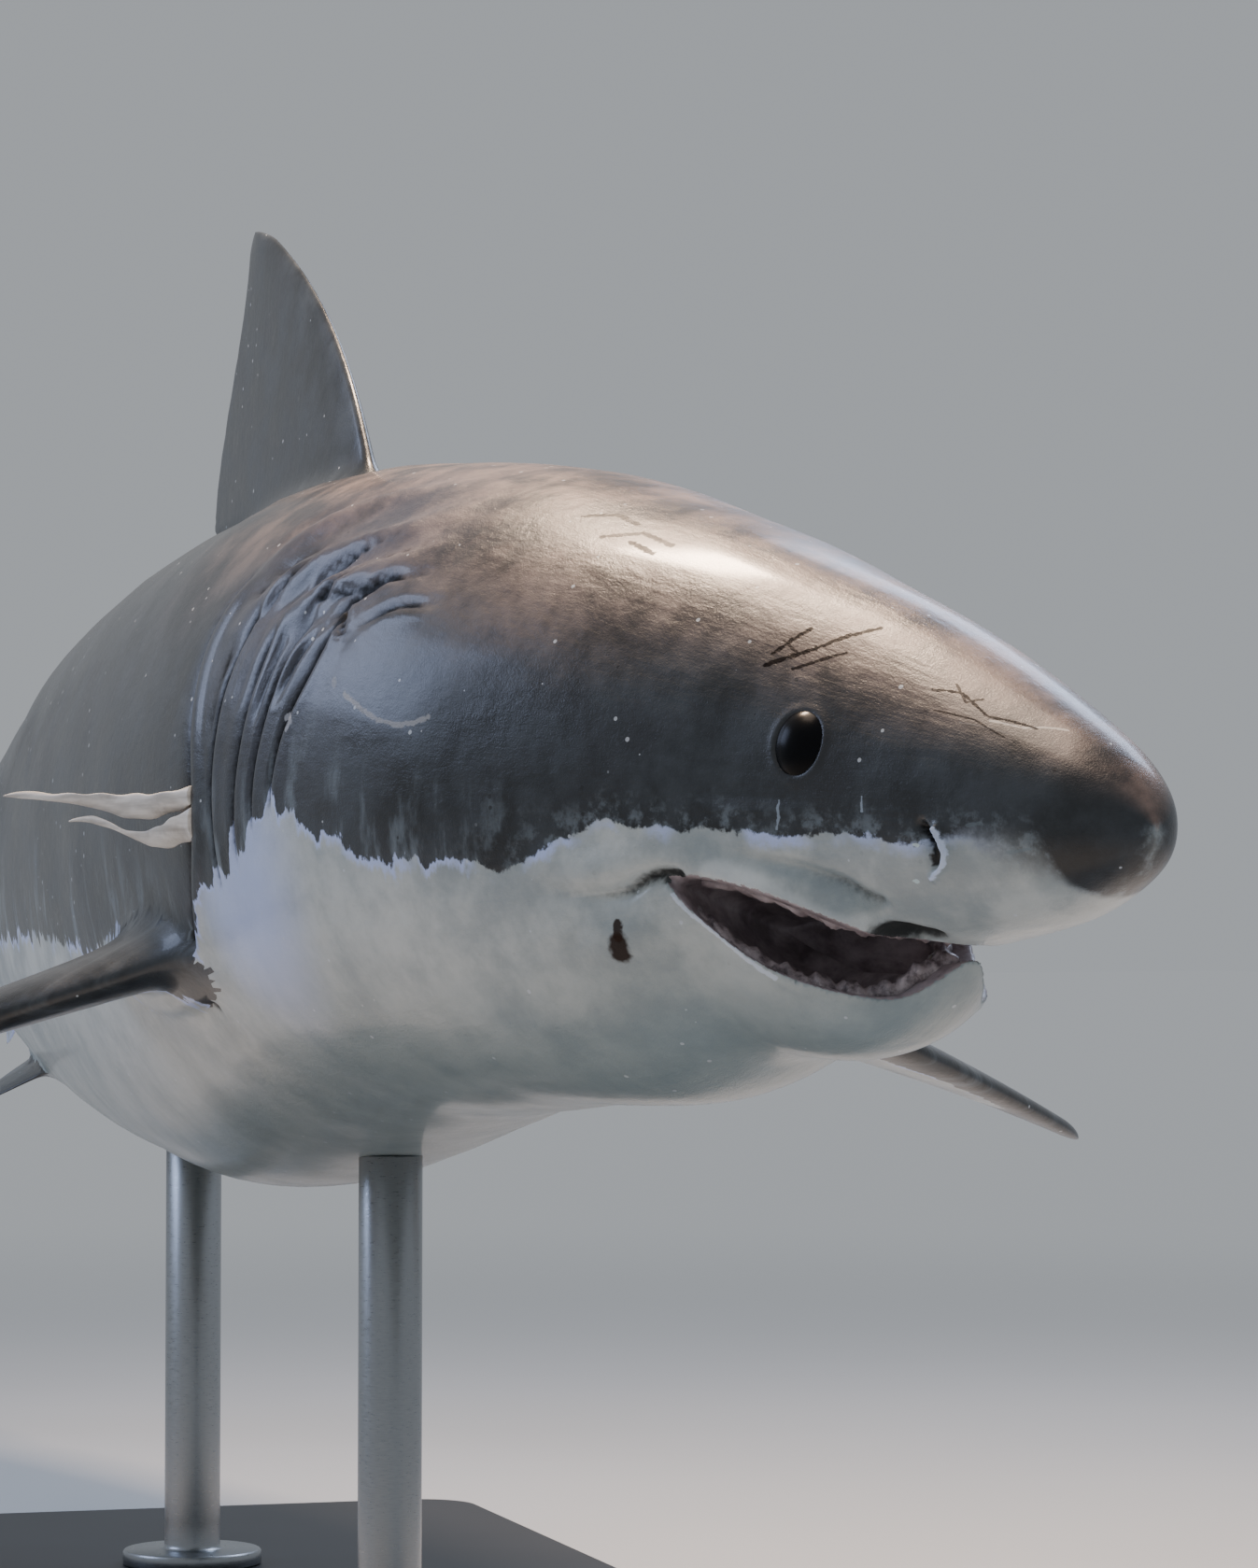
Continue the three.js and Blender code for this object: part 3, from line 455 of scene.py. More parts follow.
def relief(at, angle):
    """Height of the worked-in forms over the plain skin, and how much painted shade darkens their
    hollows. A groove or ridge is a bell curve of the distance to its line. Slow swells, a few to
    the metre, keep long highlights from looking machined."""
    height, crease = np.zeros(at.shape), np.zeros(at.shape)
    turn = np.degrees(np.abs(angle))
    for worked, front, rear, upper, lower in RELIEF_AREAS:
        there = (at > front) & (at < rear) & (turn > upper) & (turn < lower)
        height[there], crease[there] = worked(at[there], angle[there])
    along = at * LENGTH
    swell = (np.sin(along / 61 + 3 * np.cos(angle) + 1.3) * np.sin(4 * np.abs(angle) + along / 143)
             + 0.6 * np.sin(along / 33 + 5 * np.abs(angle)))
    height += 0.8 * swell * smooth((at - 0.02) / 0.05)
    return height, np.clip(crease, 0, 1)


def eye_relief(points):
    """Offset along the eye's normal: a bowl under the eyeball and a low rim round it, as curves of
    the distance in eye radii."""
    moved = points.copy()
    visible = np.sqrt(1 - (EYE_SUNK / EYE_THICK) ** 2)
    for sign in (1, -1):
        point, normal, _, upright = surface_frame(EYE_AT, sign * EYE_ANGLE)
        forward = np.cross(upright, normal)
        away = points - point
        ring = np.hypot(away @ forward / (EYE_WIDE * visible), away @ upright / (EYE_TALL * visible))
        near = (np.abs(away @ normal) < 60) & (ring < 4)
        lift = EYE_RIM * hump(ring - 1.12, 0.14) - EYE_BOWL * smooth((1.0 - ring) / 0.3)
        moved += np.where(near, lift, 0)[..., None] * normal
    return moved


# ------------------------------------------------------------------ gill flaps
# Each slit's line as (degrees, station), front to rear; beyond its ends the line only guides rows.
GILL_LINES = [
    [(0, 0.1935), (40, 0.1945), (52.7, 0.1958), (67, 0.2), (83, 0.2078), (94.6, 0.21), (112, 0.2095),
     (180, 0.205)],
    [(0, 0.2075), (52, 0.2085), (65, 0.2115), (79.7, 0.2155), (91.7, 0.2178), (98.8, 0.2182),
     (114, 0.2175), (180, 0.216)],
    [(0, 0.22), (54, 0.2205), (66, 0.222), (83.1, 0.2248), (95.1, 0.2266), (103.8, 0.2268),
     (118, 0.2262), (180, 0.2265)],
    [(0, 0.2345), (54, 0.235), (75.8, 0.2376), (91.4, 0.2386), (106.7, 0.2376), (122, 0.238),
     (180, 0.239)],
    [(0, 0.2545), (51.5, 0.2552), (62, 0.2562), (71, 0.2543), (80, 0.2512), (91.2, 0.2482),
     (99, 0.2488), (108.4, 0.253), (118, 0.261), (126, 0.269), (180, 0.275)],
]
# degrees where each slit starts and ends, and how strong its fold is
GILL_FROM = [49.0, 55.0, 56.0, 53.0, 47.0]
GILL_TO = [98.0, 101.0, 107.0, 111.0, 133.0]
GILL_SIZE = [0.42, 0.38, 0.38, 0.5, 1.6]
# The fold across a slit: distance along from the slit, the same once folded, and height once
# folded. The flap's edge hangs back over the groove that the slit opens into.
FOLD = np.array([
    (-16.0, -16.0, 0.3), (-11.0, -11.0, 1.2), (-7.0, -6.5, 2.2), (-4.2, -2.5, 2.8),
    (-2.2, 1.4, 2.9), (-0.9, 4.2, 2.3), (0.0, 5.4, 1.2), (0.8, 5.0, 0.0), (1.6, 3.0, -1.4),
    (2.6, 0.2, -3.6), (4.2, -0.4, -7.6), (6.2, 1.8, -10.4), (8.8, 5.6, -9.6), (12.0, 10.4, -5.6),
    (16.0, 15.4, -2.2),
])


def gill_rows(angle):
    """Stations (rows, angles) through the gill region with the fold's offset along and its
    height, both in millimetres. Rows follow the slit lines, so that an edge never steps."""
    turn = np.degrees(np.abs(angle))
    lines = [monotone(*zip(*knots))(turn) for knots in GILL_LINES]
    stations, shifts, heights = [], [], []

    def add(station, shift, height):
        stations.append(station)
        shifts.append(shift)
        heights.append(height)

    reach = FOLD[-1, 0] / LENGTH
    room = [1.0] + [np.clip((b - a) / (2.3 * reach), 0.3, 1) for a, b in zip(lines, lines[1:])]
    room.append(1.0)
    for k, line in enumerate(lines):
        grow = smooth((turn - GILL_FROM[k]) / 9) * (1 - smooth((turn - GILL_TO[k] + 9) / 10))
        size = GILL_SIZE[k] * grow
        for near, folded, high in FOLD:
            tight = room[k] if near < 0 else room[k + 1]
            add(line + near * tight / LENGTH, (folded - near) * tight * size,
                high * size * np.sqrt(tight))
        if k < len(lines) - 1:
            start = line + FOLD[-1, 0] * room[k + 1] / LENGTH
            end = lines[k + 1] + FOLD[0, 0] * room[k + 1] / LENGTH
            for t in (0.33, 0.67):
                add(start + (end - start) * t, 0 * turn, 0 * turn)
    return np.array(stations), np.array(shifts), np.array(heights)


# ------------------------------------------------------------------ the body's grid
def spaced(knots):
    """Stations whose spacing in millimetres follows (station, spacing) knots."""
    knots = np.array(knots)
    fine = np.linspace(knots[0, 0], knots[-1, 0], 4000)
    rate = LENGTH / np.interp(fine, knots[:, 0], knots[:, 1])
    total = np.concatenate([[0], np.cumsum((rate[1:] + rate[:-1]) / 2 * np.diff(fine))])
    count = int(round(total[-1]))
    return np.interp(np.linspace(0, total[-1], count + 1), total, fine)


def side_angles(count):
    """Angles from the top to the belly, closest together from the eye down to the lower lip."""
    spread = monotone([0, 0.1, 0.26, 0.62, 0.88, 1], [0, 36, 62, 124, 162, 180])
    return np.radians(spread(np.linspace(0, 1, count + 1)))


SIDE_STEPS = 106
HEAD_ROWS = np.concatenate([
    0.0035 * (np.arange(1, 10) / 10) ** 2,
    spaced([(0.0035, 2.8), (0.02, 3.6), (0.032, 3.2), (0.035, 1.6), (0.043, 1.8), (0.047, 3.0),
            (0.0505, 2.4), (0.06, 2.3), (0.076, 3.0), (0.1, 3.3), (0.125, 4.4), (0.15, 7.0),
            (0.186, 7.5)]),
])
REAR_ROWS = spaced([(0.2835, 9.0), (0.31, 17.0), (0.5, 24.0), (0.74, 22.0), (0.87, 16.0)])


def ring_angles(count):
    """Angles all the way round: down the right side, then up the left."""
    side = side_angles(count)
    return np.concatenate([side, -side[-2:0:-1]])


def body_faces(front_rows, rear_rows, many):
    """Quads over the front rings and over the rear ones, which have half as many points; then
    triangles over the step between the two and round the poles, which are the last points."""
    few = many // 2
    rear_start = front_rows * many
    pole = rear_start + rear_rows * few
    quads = np.vstack([tube_faces(front_rows, many), tube_faces(rear_rows, few, rear_start)])
    j = np.arange(few)
    a0, a1, a2 = (rear_start - many + k for k in (2 * j, 2 * j + 1, (2 * j + 2) % many))
    b0, b1 = rear_start + j, rear_start + (j + 1) % few
    tris = np.vstack([
        np.stack([a0, a1, b0], -1), np.stack([a1, b1, b0], -1), np.stack([a1, a2, b1], -1),
        cap_faces(0, many, pole, True), cap_faces(pole - few, few, pole + 1, False),
    ])
    return quads, tris


def body_grid():
    """Rings of the whole body: head rows, rows that follow the gill slits, then half as many
    points round for the plain trunk and tail. Returns points, faces, station, angle and how
    dark the painted shade in each point's crease is."""
    angle = ring_angles(SIDE_STEPS)
    stations, shifts, heights = gill_rows(angle)
    before = HEAD_ROWS[-1] + (stations[0] - HEAD_ROWS[-1]) * np.linspace(0, 1, 4)[1:-1, None]
    after = stations[-1] + (REAR_ROWS[0] - stations[-1]) * np.linspace(0, 1, 5)[1:-1, None]
    head = np.repeat(HEAD_ROWS[:, None], len(angle), 1)
    at = np.vstack([head, before, stations, after])
    level = np.zeros_like
    shift = np.vstack([level(head), level(before), shifts, level(after)])
    lift = np.vstack([level(head), level(before), heights, level(after)])
    turn = np.broadcast_to(angle, at.shape)
    moved = at + shift / LENGTH
    worked, crease = relief(at, turn)
    # painted shade also fills the grooves that the gill flaps hang over
    crease = np.maximum(crease, np.clip(-lift / 4, 0, 1))
    front = eye_relief(body_point(moved, turn, lift + worked))
    rear_at, rear_turn = np.meshgrid(REAR_ROWS, angle[::2], indexing="ij")
    rear = body_point(rear_at, rear_turn, relief(rear_at, rear_turn)[0])
    points = np.vstack([front.reshape(-1, 3), rear.reshape(-1, 3), place(0, 0, 0)[None],
                        place(REAR_ROWS[-1] * LENGTH + 1, 0, 0)[None]])
    quads, tris = body_faces(len(front), len(rear), len(angle))
    station = np.concatenate([moved.ravel(), rear_at.ravel(), [0, REAR_ROWS[-1]]])
    around = np.concatenate([turn.ravel(), rear_turn.ravel(), [0, 0]])
    crease = np.concatenate([crease.ravel(), np.zeros(len(points) - crease.size)])
    return points, quads, tris, station, around, crease


# ------------------------------------------------------------------ markings carried by the skin
# Where the dark back meets the pale belly, as (station, degrees from the top).
SHADE_LINE = monotone(*zip(
    (0.0, 200), (0.01, 184), (0.012, 150), (0.0137, 123), (0.0165, 107), (0.025, 103.5),
    (0.031, 101), (0.0355, 100), (0.041, 102.5), (0.05, 100), (0.061, 98), (0.075, 101.5),
    (0.0895, 96.8), (0.098, 98.5), (0.1145, 96), (0.123, 101), (0.1335, 104.5), (0.148, 106),
    (0.1744, 106), (0.1826, 101.5), (0.1923, 99.7), (0.2067, 95), (0.2106, 92.5), (0.2152, 98.5),
    (0.22, 98), (0.223, 103.5), (0.2265, 102), (0.228, 94.5), (0.23, 97), (0.2335, 106.5),
    (0.2446, 107.5), (0.253, 109.5), (0.2604, 118), (0.2752, 124), (0.3, 120), (0.33, 116),
    (0.37, 118), (0.41, 114), (0.46, 112), (0.54, 113), (0.6, 107), (0.7, 101), (0.78, 96),
    (0.84, 93), (0.87, 92)))


def body_shade(station, angle):
    """Millimetres below the shade line, measured round the body; negative on the dark side."""
    turn = np.abs(angle)
    return (turn - np.radians(SHADE_LINE(station))) * body_radius(station, angle)


def carry(piece, region, flesh, shade, spread, crease=0.0):
    """Writes the face region and the corner values that the materials and the bake map read."""
    mesh = piece.data
    faces = mesh.attributes.new("region", "INT", "FACE")
    faces.data.foreach_set("value", np.full(len(mesh.polygons), region, np.int32))
    corner = np.zeros(len(mesh.loops), np.int32)
    mesh.loops.foreach_get("vertex_index", corner)
    field = mesh.attributes.new("flesh", "FLOAT_VECTOR", "CORNER")
    field.data.foreach_set("vector", flesh[corner].astype(np.float32).ravel())
    for name, values in (("shade", shade), ("crease", crease + 0 * shade)):
        field = mesh.attributes.new(name, "FLOAT", "CORNER")
        field.data.foreach_set("value", values[corner].astype(np.float32))
    face_of = np.zeros(len(mesh.loops), np.int32)
    starts = np.zeros(len(mesh.polygons), np.int32)
    mesh.polygons.foreach_get("loop_start", starts)
    face_of[starts[1:]] = 1
    face_of = np.cumsum(face_of)
    side = np.bincount(face_of, flesh[corner, 2]) >= 0
    uv = mesh.uv_layers.new(name="OFBake")
    uv.data.foreach_set("uv", spread(corner, side[face_of]).astype(np.float32).ravel())


# ------------------------------------------------------------------ fins
# Outlines in millimetres: height, root chord, how far the tip lies behind the root's front, the
# leading edge's bow and the power of its curve, tip chord, rear lobe, hollow of the trailing
# edge, share of the height that the round tip takes up, and thickness.
FINS = {
    "dorsal_first": dict(span=336, base=500, setback=437, bow=0.5, curl=2.6, tip=49, rear=120,
                         hollow=0, round=0.07, thick=46),
    "small": dict(span=58, base=62, setback=66, bow=0.3, curl=3, tip=8, rear=42, hollow=6,
                  round=0.15, thick=11),
    "pectoral": dict(span=600, base=262, setback=400, bow=0.45, curl=1.9, tip=36, rear=76,
                     hollow=60, round=0.06, thick=74),
    "pelvic": dict(span=138, base=180, setback=112, bow=0.35, curl=3, tip=36, rear=60,
                   hollow=12, round=0.12, thick=26),
    "caudal_upper": dict(span=578, base=246, setback=588, bow=0.34, curl=2.2, tip=44, rear=0,
                         hollow=46, round=0.05, thick=46),
    "caudal_lower": dict(span=500, base=246, setback=420, bow=0.4, curl=2.2, tip=40, rear=0,
                         hollow=46, round=0.06, thick=46),
}


# Half-thickness of a fin's section along its chord: the root term, then powers 1 to 4.
FOIL_ROOT, FOIL_POWERS = 1.4845, (-0.61, -1.758, 1.4215, -0.5075)


def fin_heights(fin, depth, rows):
    """Heights of a fin's rings as shares of its span: even steps from inside the body out past
    the flare, then steps that shrink toward the tip by a power."""
    root = np.linspace(-depth / fin["span"], min(0.16, 75 / fin["span"]), rows // 3,
                       endpoint=False)
    start = root[-1] + (root[1] - root[0])
    climb = np.linspace(0, 1, rows - rows // 3)
    return np.concatenate([root, start + (1 - start) * (1 - (1 - climb) ** 1.7)])[:, None]


def fin_edges(fin, height, nicks):
    """Leading and trailing edge of each ring: power curves of the height, with a lobe low on the
    rear, a hollow and a ragged rim of sines. Toward the tip a quarter ellipse pinches them
    together; that pinch comes back too."""
    h = np.maximum(height, 0)
    lead = fin["setback"] * ((1 - fin["bow"]) * height + fin["bow"] * h ** fin["curl"])
    straight = fin["base"] + (fin["setback"] + fin["tip"] - fin["base"]) * h ** 1.15
    lobe = fin["rear"] * smooth(h / 0.1) * (1 - smooth((h - 0.1) / 0.9))
    trail = straight + lobe - fin["hollow"] * np.sin(np.pi * np.clip(h, 0, 1) ** 0.8)
    rag = np.sin(41 * h + 1) * np.sin(97 * h) + 0.7 * np.sin(163 * h + 2) - 1.7
    trail = trail + nicks * rag * smooth(h / 0.15) * (1 - h)
    over = np.clip((h - (1 - fin["round"])) / fin["round"], 0, 1)
    pinch = np.sqrt(np.maximum(1 - over * over, 0))
    middle = lead + (trail - lead) * 0.62
    return middle + (lead - middle) * pinch, middle + (trail - middle) * pinch, pinch


def fin_grid(fin, depth, rows, around, mapping, flare, spreadout, nicks):
    """Rings of a fin from inside the body to its rounded tip. The section is a symmetric
    aerofoil that thins with height, and near the body it flares by the cube of what is left of
    spreadout, so that the root runs into the skin. Returns rings, pole points, and the height,
    chord, side (-1 to 1) and unflared place of each point."""
    height = fin_heights(fin, depth, rows)
    lead, trail, pinch = fin_edges(fin, height, nicks)
    turn = (np.arange(around) / around * 2 * np.pi)[None]
    chord = (1 - np.cos(turn)) / 2
    foil = FOIL_ROOT * np.sqrt(chord) + sum(
        share * chord ** power for power, share in enumerate(FOIL_POWERS, 1))
    taper = (1 - 0.8 * np.maximum(height, 0) ** 0.8) * np.maximum(pinch, 0.25)
    side = np.sign(np.round(np.sin(turn), 9))
    back = lead + (trail - lead) * chord
    aside = side * fin["thick"] * taper * foil
    out = np.broadcast_to(height * fin["span"], back.shape)
    along, left, up = mapping(back, out, aside)
    clear = np.hypot(left, up) - body_radius(along / LENGTH, np.arctan2(-left, up))
    grown = flare * np.clip(1 - clear / spreadout, 0, 1.25) ** 3
    points = place(*mapping(back - grown * np.cos(turn), out, aside + grown * np.sin(turn)))
    ends = [place(*mapping(np.array((lead[k] + trail[k]) / 2), np.array(height[k] * fin["span"]),
                           np.zeros(1))) for k in (0, -1)]
    ones = np.ones_like(back)
    return points, ends, height * ones, chord * ones, np.sin(turn) * ones, (along, left, up)


def midline(at, up, level):
    """Mapping of a fin that stands on the ridge of the back (up 1) or under the belly (-1)."""
    return lambda back, out, aside: (at * LENGTH + back, aside + 0 * back, up * (level + out))


def paired(at, side, half, root_up, droop, twist=0.0):
    """Mapping of a side fin: out runs sideways and down by droop, and twist lowers its rear."""
    droop, twist = np.radians([droop, twist])

    def mapping(back, out, aside):
        lift = aside - back * np.sin(twist)
        reach = half + out * np.cos(droop) - lift * np.sin(droop)
        return (at * LENGTH + back, side * reach,
                root_up - out * np.sin(droop) + lift * np.cos(droop))

    return mapping


def ridge(at, angle=0.0):
    """Distance of the skin from the spine on the midline."""
    return float(body_radius(np.array(at), np.array(angle)))


# name: outline, mapping, depth inside the body, rows, points round, flare, reach of the flare,
# ragged edge, and how its sides are marked; sizes in millimetres
FIN_PLAN = {
    "dorsal_first": ("dorsal_first", midline(0.343, 1, ridge(0.343)), 45, 60, 52, 22, 42, 1.6,
                     "dark"),
    "dorsal_second": ("small", midline(0.705, 1, ridge(0.715)), 40, 26, 28, 5, 11, 0.4, "dark"),
    "anal_fin": ("small", midline(0.722, -1, ridge(0.732, np.pi)), 40, 26, 28, 5, 11, 0.4, "pale"),
    "pectoral_left": ("pectoral", paired(0.268, 1, 215, -130, 14, 3), 90, 58, 48, 20, 44, 2.2,
                      "topside"),
    "pectoral_right": ("pectoral", paired(0.268, -1, 215, -130, 20, 2), 90, 58, 48, 20, 44, 2.2,
                       "topside"),
    "pelvic_left": ("pelvic", paired(0.56, 1, 85, -205, 30), 40, 34, 34, 9, 20, 1.0, "topside"),
    "pelvic_right": ("pelvic", paired(0.56, -1, 85, -205, 30), 40, 34, 34, 9, 20, 1.0,
                     "topside"),
    "caudal_upper": ("caudal_upper", midline(0.826, 1, 0), 3, 54, 44, 10, 26, 2.4, "dark"),
    "caudal_lower": ("caudal_lower", midline(0.826, -1, 0), 3, 54, 44, 10, 26, 2.4, "dark"),
}


def fin_shade(marking, height, side, chord, span):
    """Millimetres into the pale area. A side fin is dark above and at its tip, pale below; the
    edge between runs along the fin's rim, where the side value passes nought."""
    if marking == "dark":
        return np.full(height.shape, -300.0)
    if marking == "pale":
        return np.full(height.shape, 30.0) - 26 * height
    # near the leading edge the dark reaches under the fin: partly its own dark margin, partly painted
    # shade
    under = -side * 26 - 4 - 60 * (1 - smooth(chord / 0.34))
    tip = (0.8 - height) * span * 0.5 - 10 * (1 - chord)
    rear = (1.02 - chord) * 130 - 40 * height
    return np.minimum(np.minimum(under, tip), rear)


def add_fin(name, order):
    """One closed fin ready to be joined to the body, with its markings and bake-map place."""
    outline, mapping, depth, rows, around, flare, reach, nicks, marking = FIN_PLAN[name]
    rings, ends, height, chord, side, where = fin_grid(
        FINS[outline], depth, rows, around, mapping, flare, reach, nicks)
    piece = closed_tube(name, to_frame(rings), to_frame(ends[0]), to_frame(ends[1]))
    along, left, up = (np.broadcast_to(v, height.shape) for v in where)

    def with_ends(grid):
        return np.concatenate([grid.ravel(), [grid[0].mean(), grid[-1].mean()]])

    flesh = np.stack([with_ends(along) / 1000, with_ends(np.abs(np.arctan2(left, up))) * GIRTH,
                      with_ends(side)], -1)
    shade = with_ends(fin_shade(marking, height, side, chord, FINS[outline]["span"]))
    tall, deep = with_ends(height), with_ends(chord)
    column, row = order % 3, order // 3

    def spread(corner, facing):
        u = (column + 0.04 + 0.44 * deep[corner] + np.where(facing, 0.5, 0.0)) / 3
        v = (row + 0.05 + 0.88 * np.clip(tall[corner] + 0.1, 0, 1.1) / 1.1) * 0.13
        return np.stack([u, v], -1)

    carry(piece, order + 1, flesh, shade, spread)
    return piece


# ------------------------------------------------------------------ mouth
def upper_lip(side):
    """Arch of the upper lip: along grows as the side to the power 1.9, and it lifts outward. At
    the front it runs on by LIP_REACH and drops by LIP_SINK."""
    s = np.abs(side)
    along, up = UPPER_FRONT
    reach = 1 - smooth(s / LIP_FRONT)
    return np.stack([along + (CORNER_ALONG - along) * s ** 1.9 - LIP_REACH * reach,
                     MOUTH_HALF * side,
                     up + (CORNER_UP - up) * smooth((s - 0.38) / 0.6) - LIP_SINK * reach], -1)


def lower_lip(side):
    """Arch of the lower lip: along grows as the side to the power 1.4, up as the power 3.9, and
    the lip climbs by CHIN_RISE to its front, where the mouth nearly shuts."""
    s = np.abs(side)
    along, up = LOWER_FRONT
    sag = up + (CORNER_UP - up) * s ** 3.9
    reach = 1 - smooth(s / LIP_FRONT)
    return np.stack([along + (CORNER_ALONG - along) * s ** 1.4 - LIP_REACH * reach,
                     MOUTH_HALF * side,
                     sag + CHIN_RISE * (1 - smooth(s / RISE_FRONT))], -1)


def mouth_coordinates(side, inward, lip, bow):
    """Along, left and up inside the mouth: a straight run from the lip to the throat, bowed away
    by a half sine, most on the midline."""
    edge = lip(side)
    mixed = edge + (THROAT - edge) * inward[..., None]
    bulge = bow * MOUTH_ARCH * np.sin(np.pi * np.clip(inward, 0, 1)) * np.sqrt(1 - side ** 2)
    return mixed[..., 0] * LENGTH, mixed[..., 1] * LENGTH, (mixed[..., 2] + bulge) * LENGTH


def mouth_point(side, inward, lip, bow):
    """The same place as a point."""
    return place(*mouth_coordinates(side, inward, lip, bow))


def add_mouth_cutter(across=64, deep=22):
    """The hollow of the mouth: palate and floor sheets closed at the corners, the throat and
    out in front of the lips."""
    side, inward = np.meshgrid(np.linspace(-1, 1, across + 1),
                               MOUTH_OUT + (1 - MOUTH_OUT) * np.linspace(0, 1, deep + 1) ** 1.2,
                               indexing="ij")
    ripple = 1.2 * np.sin(21 * inward + 2 * np.cos(9 * side)) * smooth(inward / 0.2) * (
        1 - smooth((inward - 0.6) / 0.4)) * (1 - side ** 2)
    sheets = []
    for lip, bow in ((upper_lip, 1), (lower_lip, -1)):
        along, left, up = mouth_coordinates(side, inward, lip, bow)
        sheets.append(place(along, left, up + bow * ripple).reshape(-1, 3))
    i, j = np.meshgrid(np.arange(across), np.arange(deep), indexing="ij")
    a = i * (deep + 1) + j
    roof = np.stack([a, a + 1, a + deep + 2, a + deep + 1], -1).reshape(-1, 4)
    floor = roof[:, ::-1] + len(sheets[0])
    k = np.arange(across) * (deep + 1)
    front = np.stack([k, k + deep + 1, k + deep + 1 + len(sheets[0]), k + len(sheets[0])], -1)
    piece = add_piece("mouth_hollow", to_frame(np.vstack(sheets)), np.vstack([roof, floor, front]))
    merge_doubles(piece, 2e-5)
    face_outward(piece)
    count = len(piece.data.vertices)
    points = np.zeros(count * 3)
    piece.data.vertices.foreach_get("co", points)
    points = points.reshape(-1, 3)
    flesh = np.stack([points[:, 0], points[:, 2], np.ones(count)], -1)
    low, high = points.min(0), points.max(0)
    share = (points - low) / (high - low)

    def spread(corner, facing):
        return np.stack([0.68 + 0.3 * share[corner, 1], 0.395 + 0.1 * share[corner, 0]], -1)

    carry(piece, MOUTH, flesh, np.full(count, 40.0), spread)
    return piece


def merge_doubles(piece, distance):
    """Joins points that lie closer than distance, in metres, and drops faces left flat."""
    work = bmesh.new()
    work.from_mesh(piece.data)
    bmesh.ops.remove_doubles(work, verts=work.verts, dist=distance)
    bmesh.ops.dissolve_degenerate(work, edges=work.edges, dist=distance / 4)
    work.to_mesh(piece.data)
    work.free()


# ------------------------------------------------------------------ one skin
BODY, MOUTH = 0, 20


def combine(base, tools):
    """Joins or cuts closed meshes in turn and returns the resulting mesh."""
    for tool, operation in tools:
        step = base.modifiers.new(tool.name, "BOOLEAN")
        step.object, step.operation = tool, operation
        step.solver, step.material_mode = "MANIFOLD", "INDEX"
    graph = bpy.context.evaluated_depsgraph_get()
    mesh = bpy.data.meshes.new_from_object(base.evaluated_get(graph), depsgraph=graph)
    base.modifiers.clear()
    for tool, _ in tools:
        bpy.data.objects.remove(tool)
    return mesh


def relax(mesh, chosen, rings, rounds):
    """Evens out the points near chosen ones: each moves half-way toward the mean of its
    neighbours, and less with every ring of edges that it lies away."""
    edges = np.zeros(len(mesh.edges) * 2, np.int32)
    mesh.edges.foreach_get("vertices", edges)
    a, b = edges.reshape(-1, 2).T
    count = len(mesh.vertices)
    reach = np.where(chosen, 1.0, 0.0)
    for _ in range(rings):
        spread = reach.copy()
        np.maximum.at(spread, a, reach[b] * 0.8)
        np.maximum.at(spread, b, reach[a] * 0.8)
        reach = spread
    weight = (0.5 * smooth(reach))[:, None]
    points = np.zeros(count * 3)
    mesh.vertices.foreach_get("co", points)
    points = points.reshape(-1, 3)
    degree = np.bincount(a, minlength=count) + np.bincount(b, minlength=count)
    for _ in range(rounds):
        total = np.stack([np.bincount(a, points[b, k], count) + np.bincount(b, points[a, k], count)
                          for k in range(3)], -1)
        points += weight * (total / degree[:, None] - points)
    mesh.vertices.foreach_set("co", points.astype(np.float32).ravel())
    mesh.update()


def seam_points(mesh, regions):
    """Which points lie between a face of the given regions and one of another."""
    region = np.zeros(len(mesh.polygons), np.int32)
    mesh.attributes["region"].data.foreach_get("value", region)
    totals = np.zeros(len(mesh.polygons), np.int32)
    mesh.polygons.foreach_get("loop_total", totals)
    corner = np.zeros(len(mesh.loops), np.int32)
    mesh.loops.foreach_get("vertex_index", corner)
    inside = np.repeat(np.isin(region, regions), totals)
    count = len(mesh.vertices)
    return (np.bincount(corner, inside, count) > 0) & (np.bincount(corner, ~inside, count) > 0)


def add_skin():
    """The whole hide as one closed mesh, with the mouth's lining as its second material."""
    points, quads, tris, station, angle, crease = body_grid()
    body = add_piece("skin", to_frame(points), quads, tris)
    face_outward(body)
    flesh = np.stack([station * LENGTH / 1000, np.abs(angle) * GIRTH, np.sin(angle)], -1)

    def spread(corner, facing):
        turn = np.abs(angle[corner]) / np.pi
        u = 0.01 + 0.98 * (station[corner] / REAR_ROWS[-1]) ** 0.75
        v = 0.75 + np.where(facing, 0.24, -0.24) * turn
        return np.stack([u, v], -1)

    carry(body, BODY, flesh, body_shade(station, angle), spread, crease)
    fins = [add_fin(name, order) for order, name in enumerate(FIN_PLAN)]
    tools = [(fin, "UNION") for fin in fins] + [(add_mouth_cutter(), "DIFFERENCE")]
    mesh = combine(body, tools)
    fin_regions = list(range(1, len(FIN_PLAN) + 1))
    relax(mesh, seam_points(mesh, fin_regions), rings=7, rounds=14)
    relax(mesh, seam_points(mesh, [MOUTH]), rings=2, rounds=5)
    mesh.shade_smooth()
    body.data = mesh
    return body


skin = add_skin()


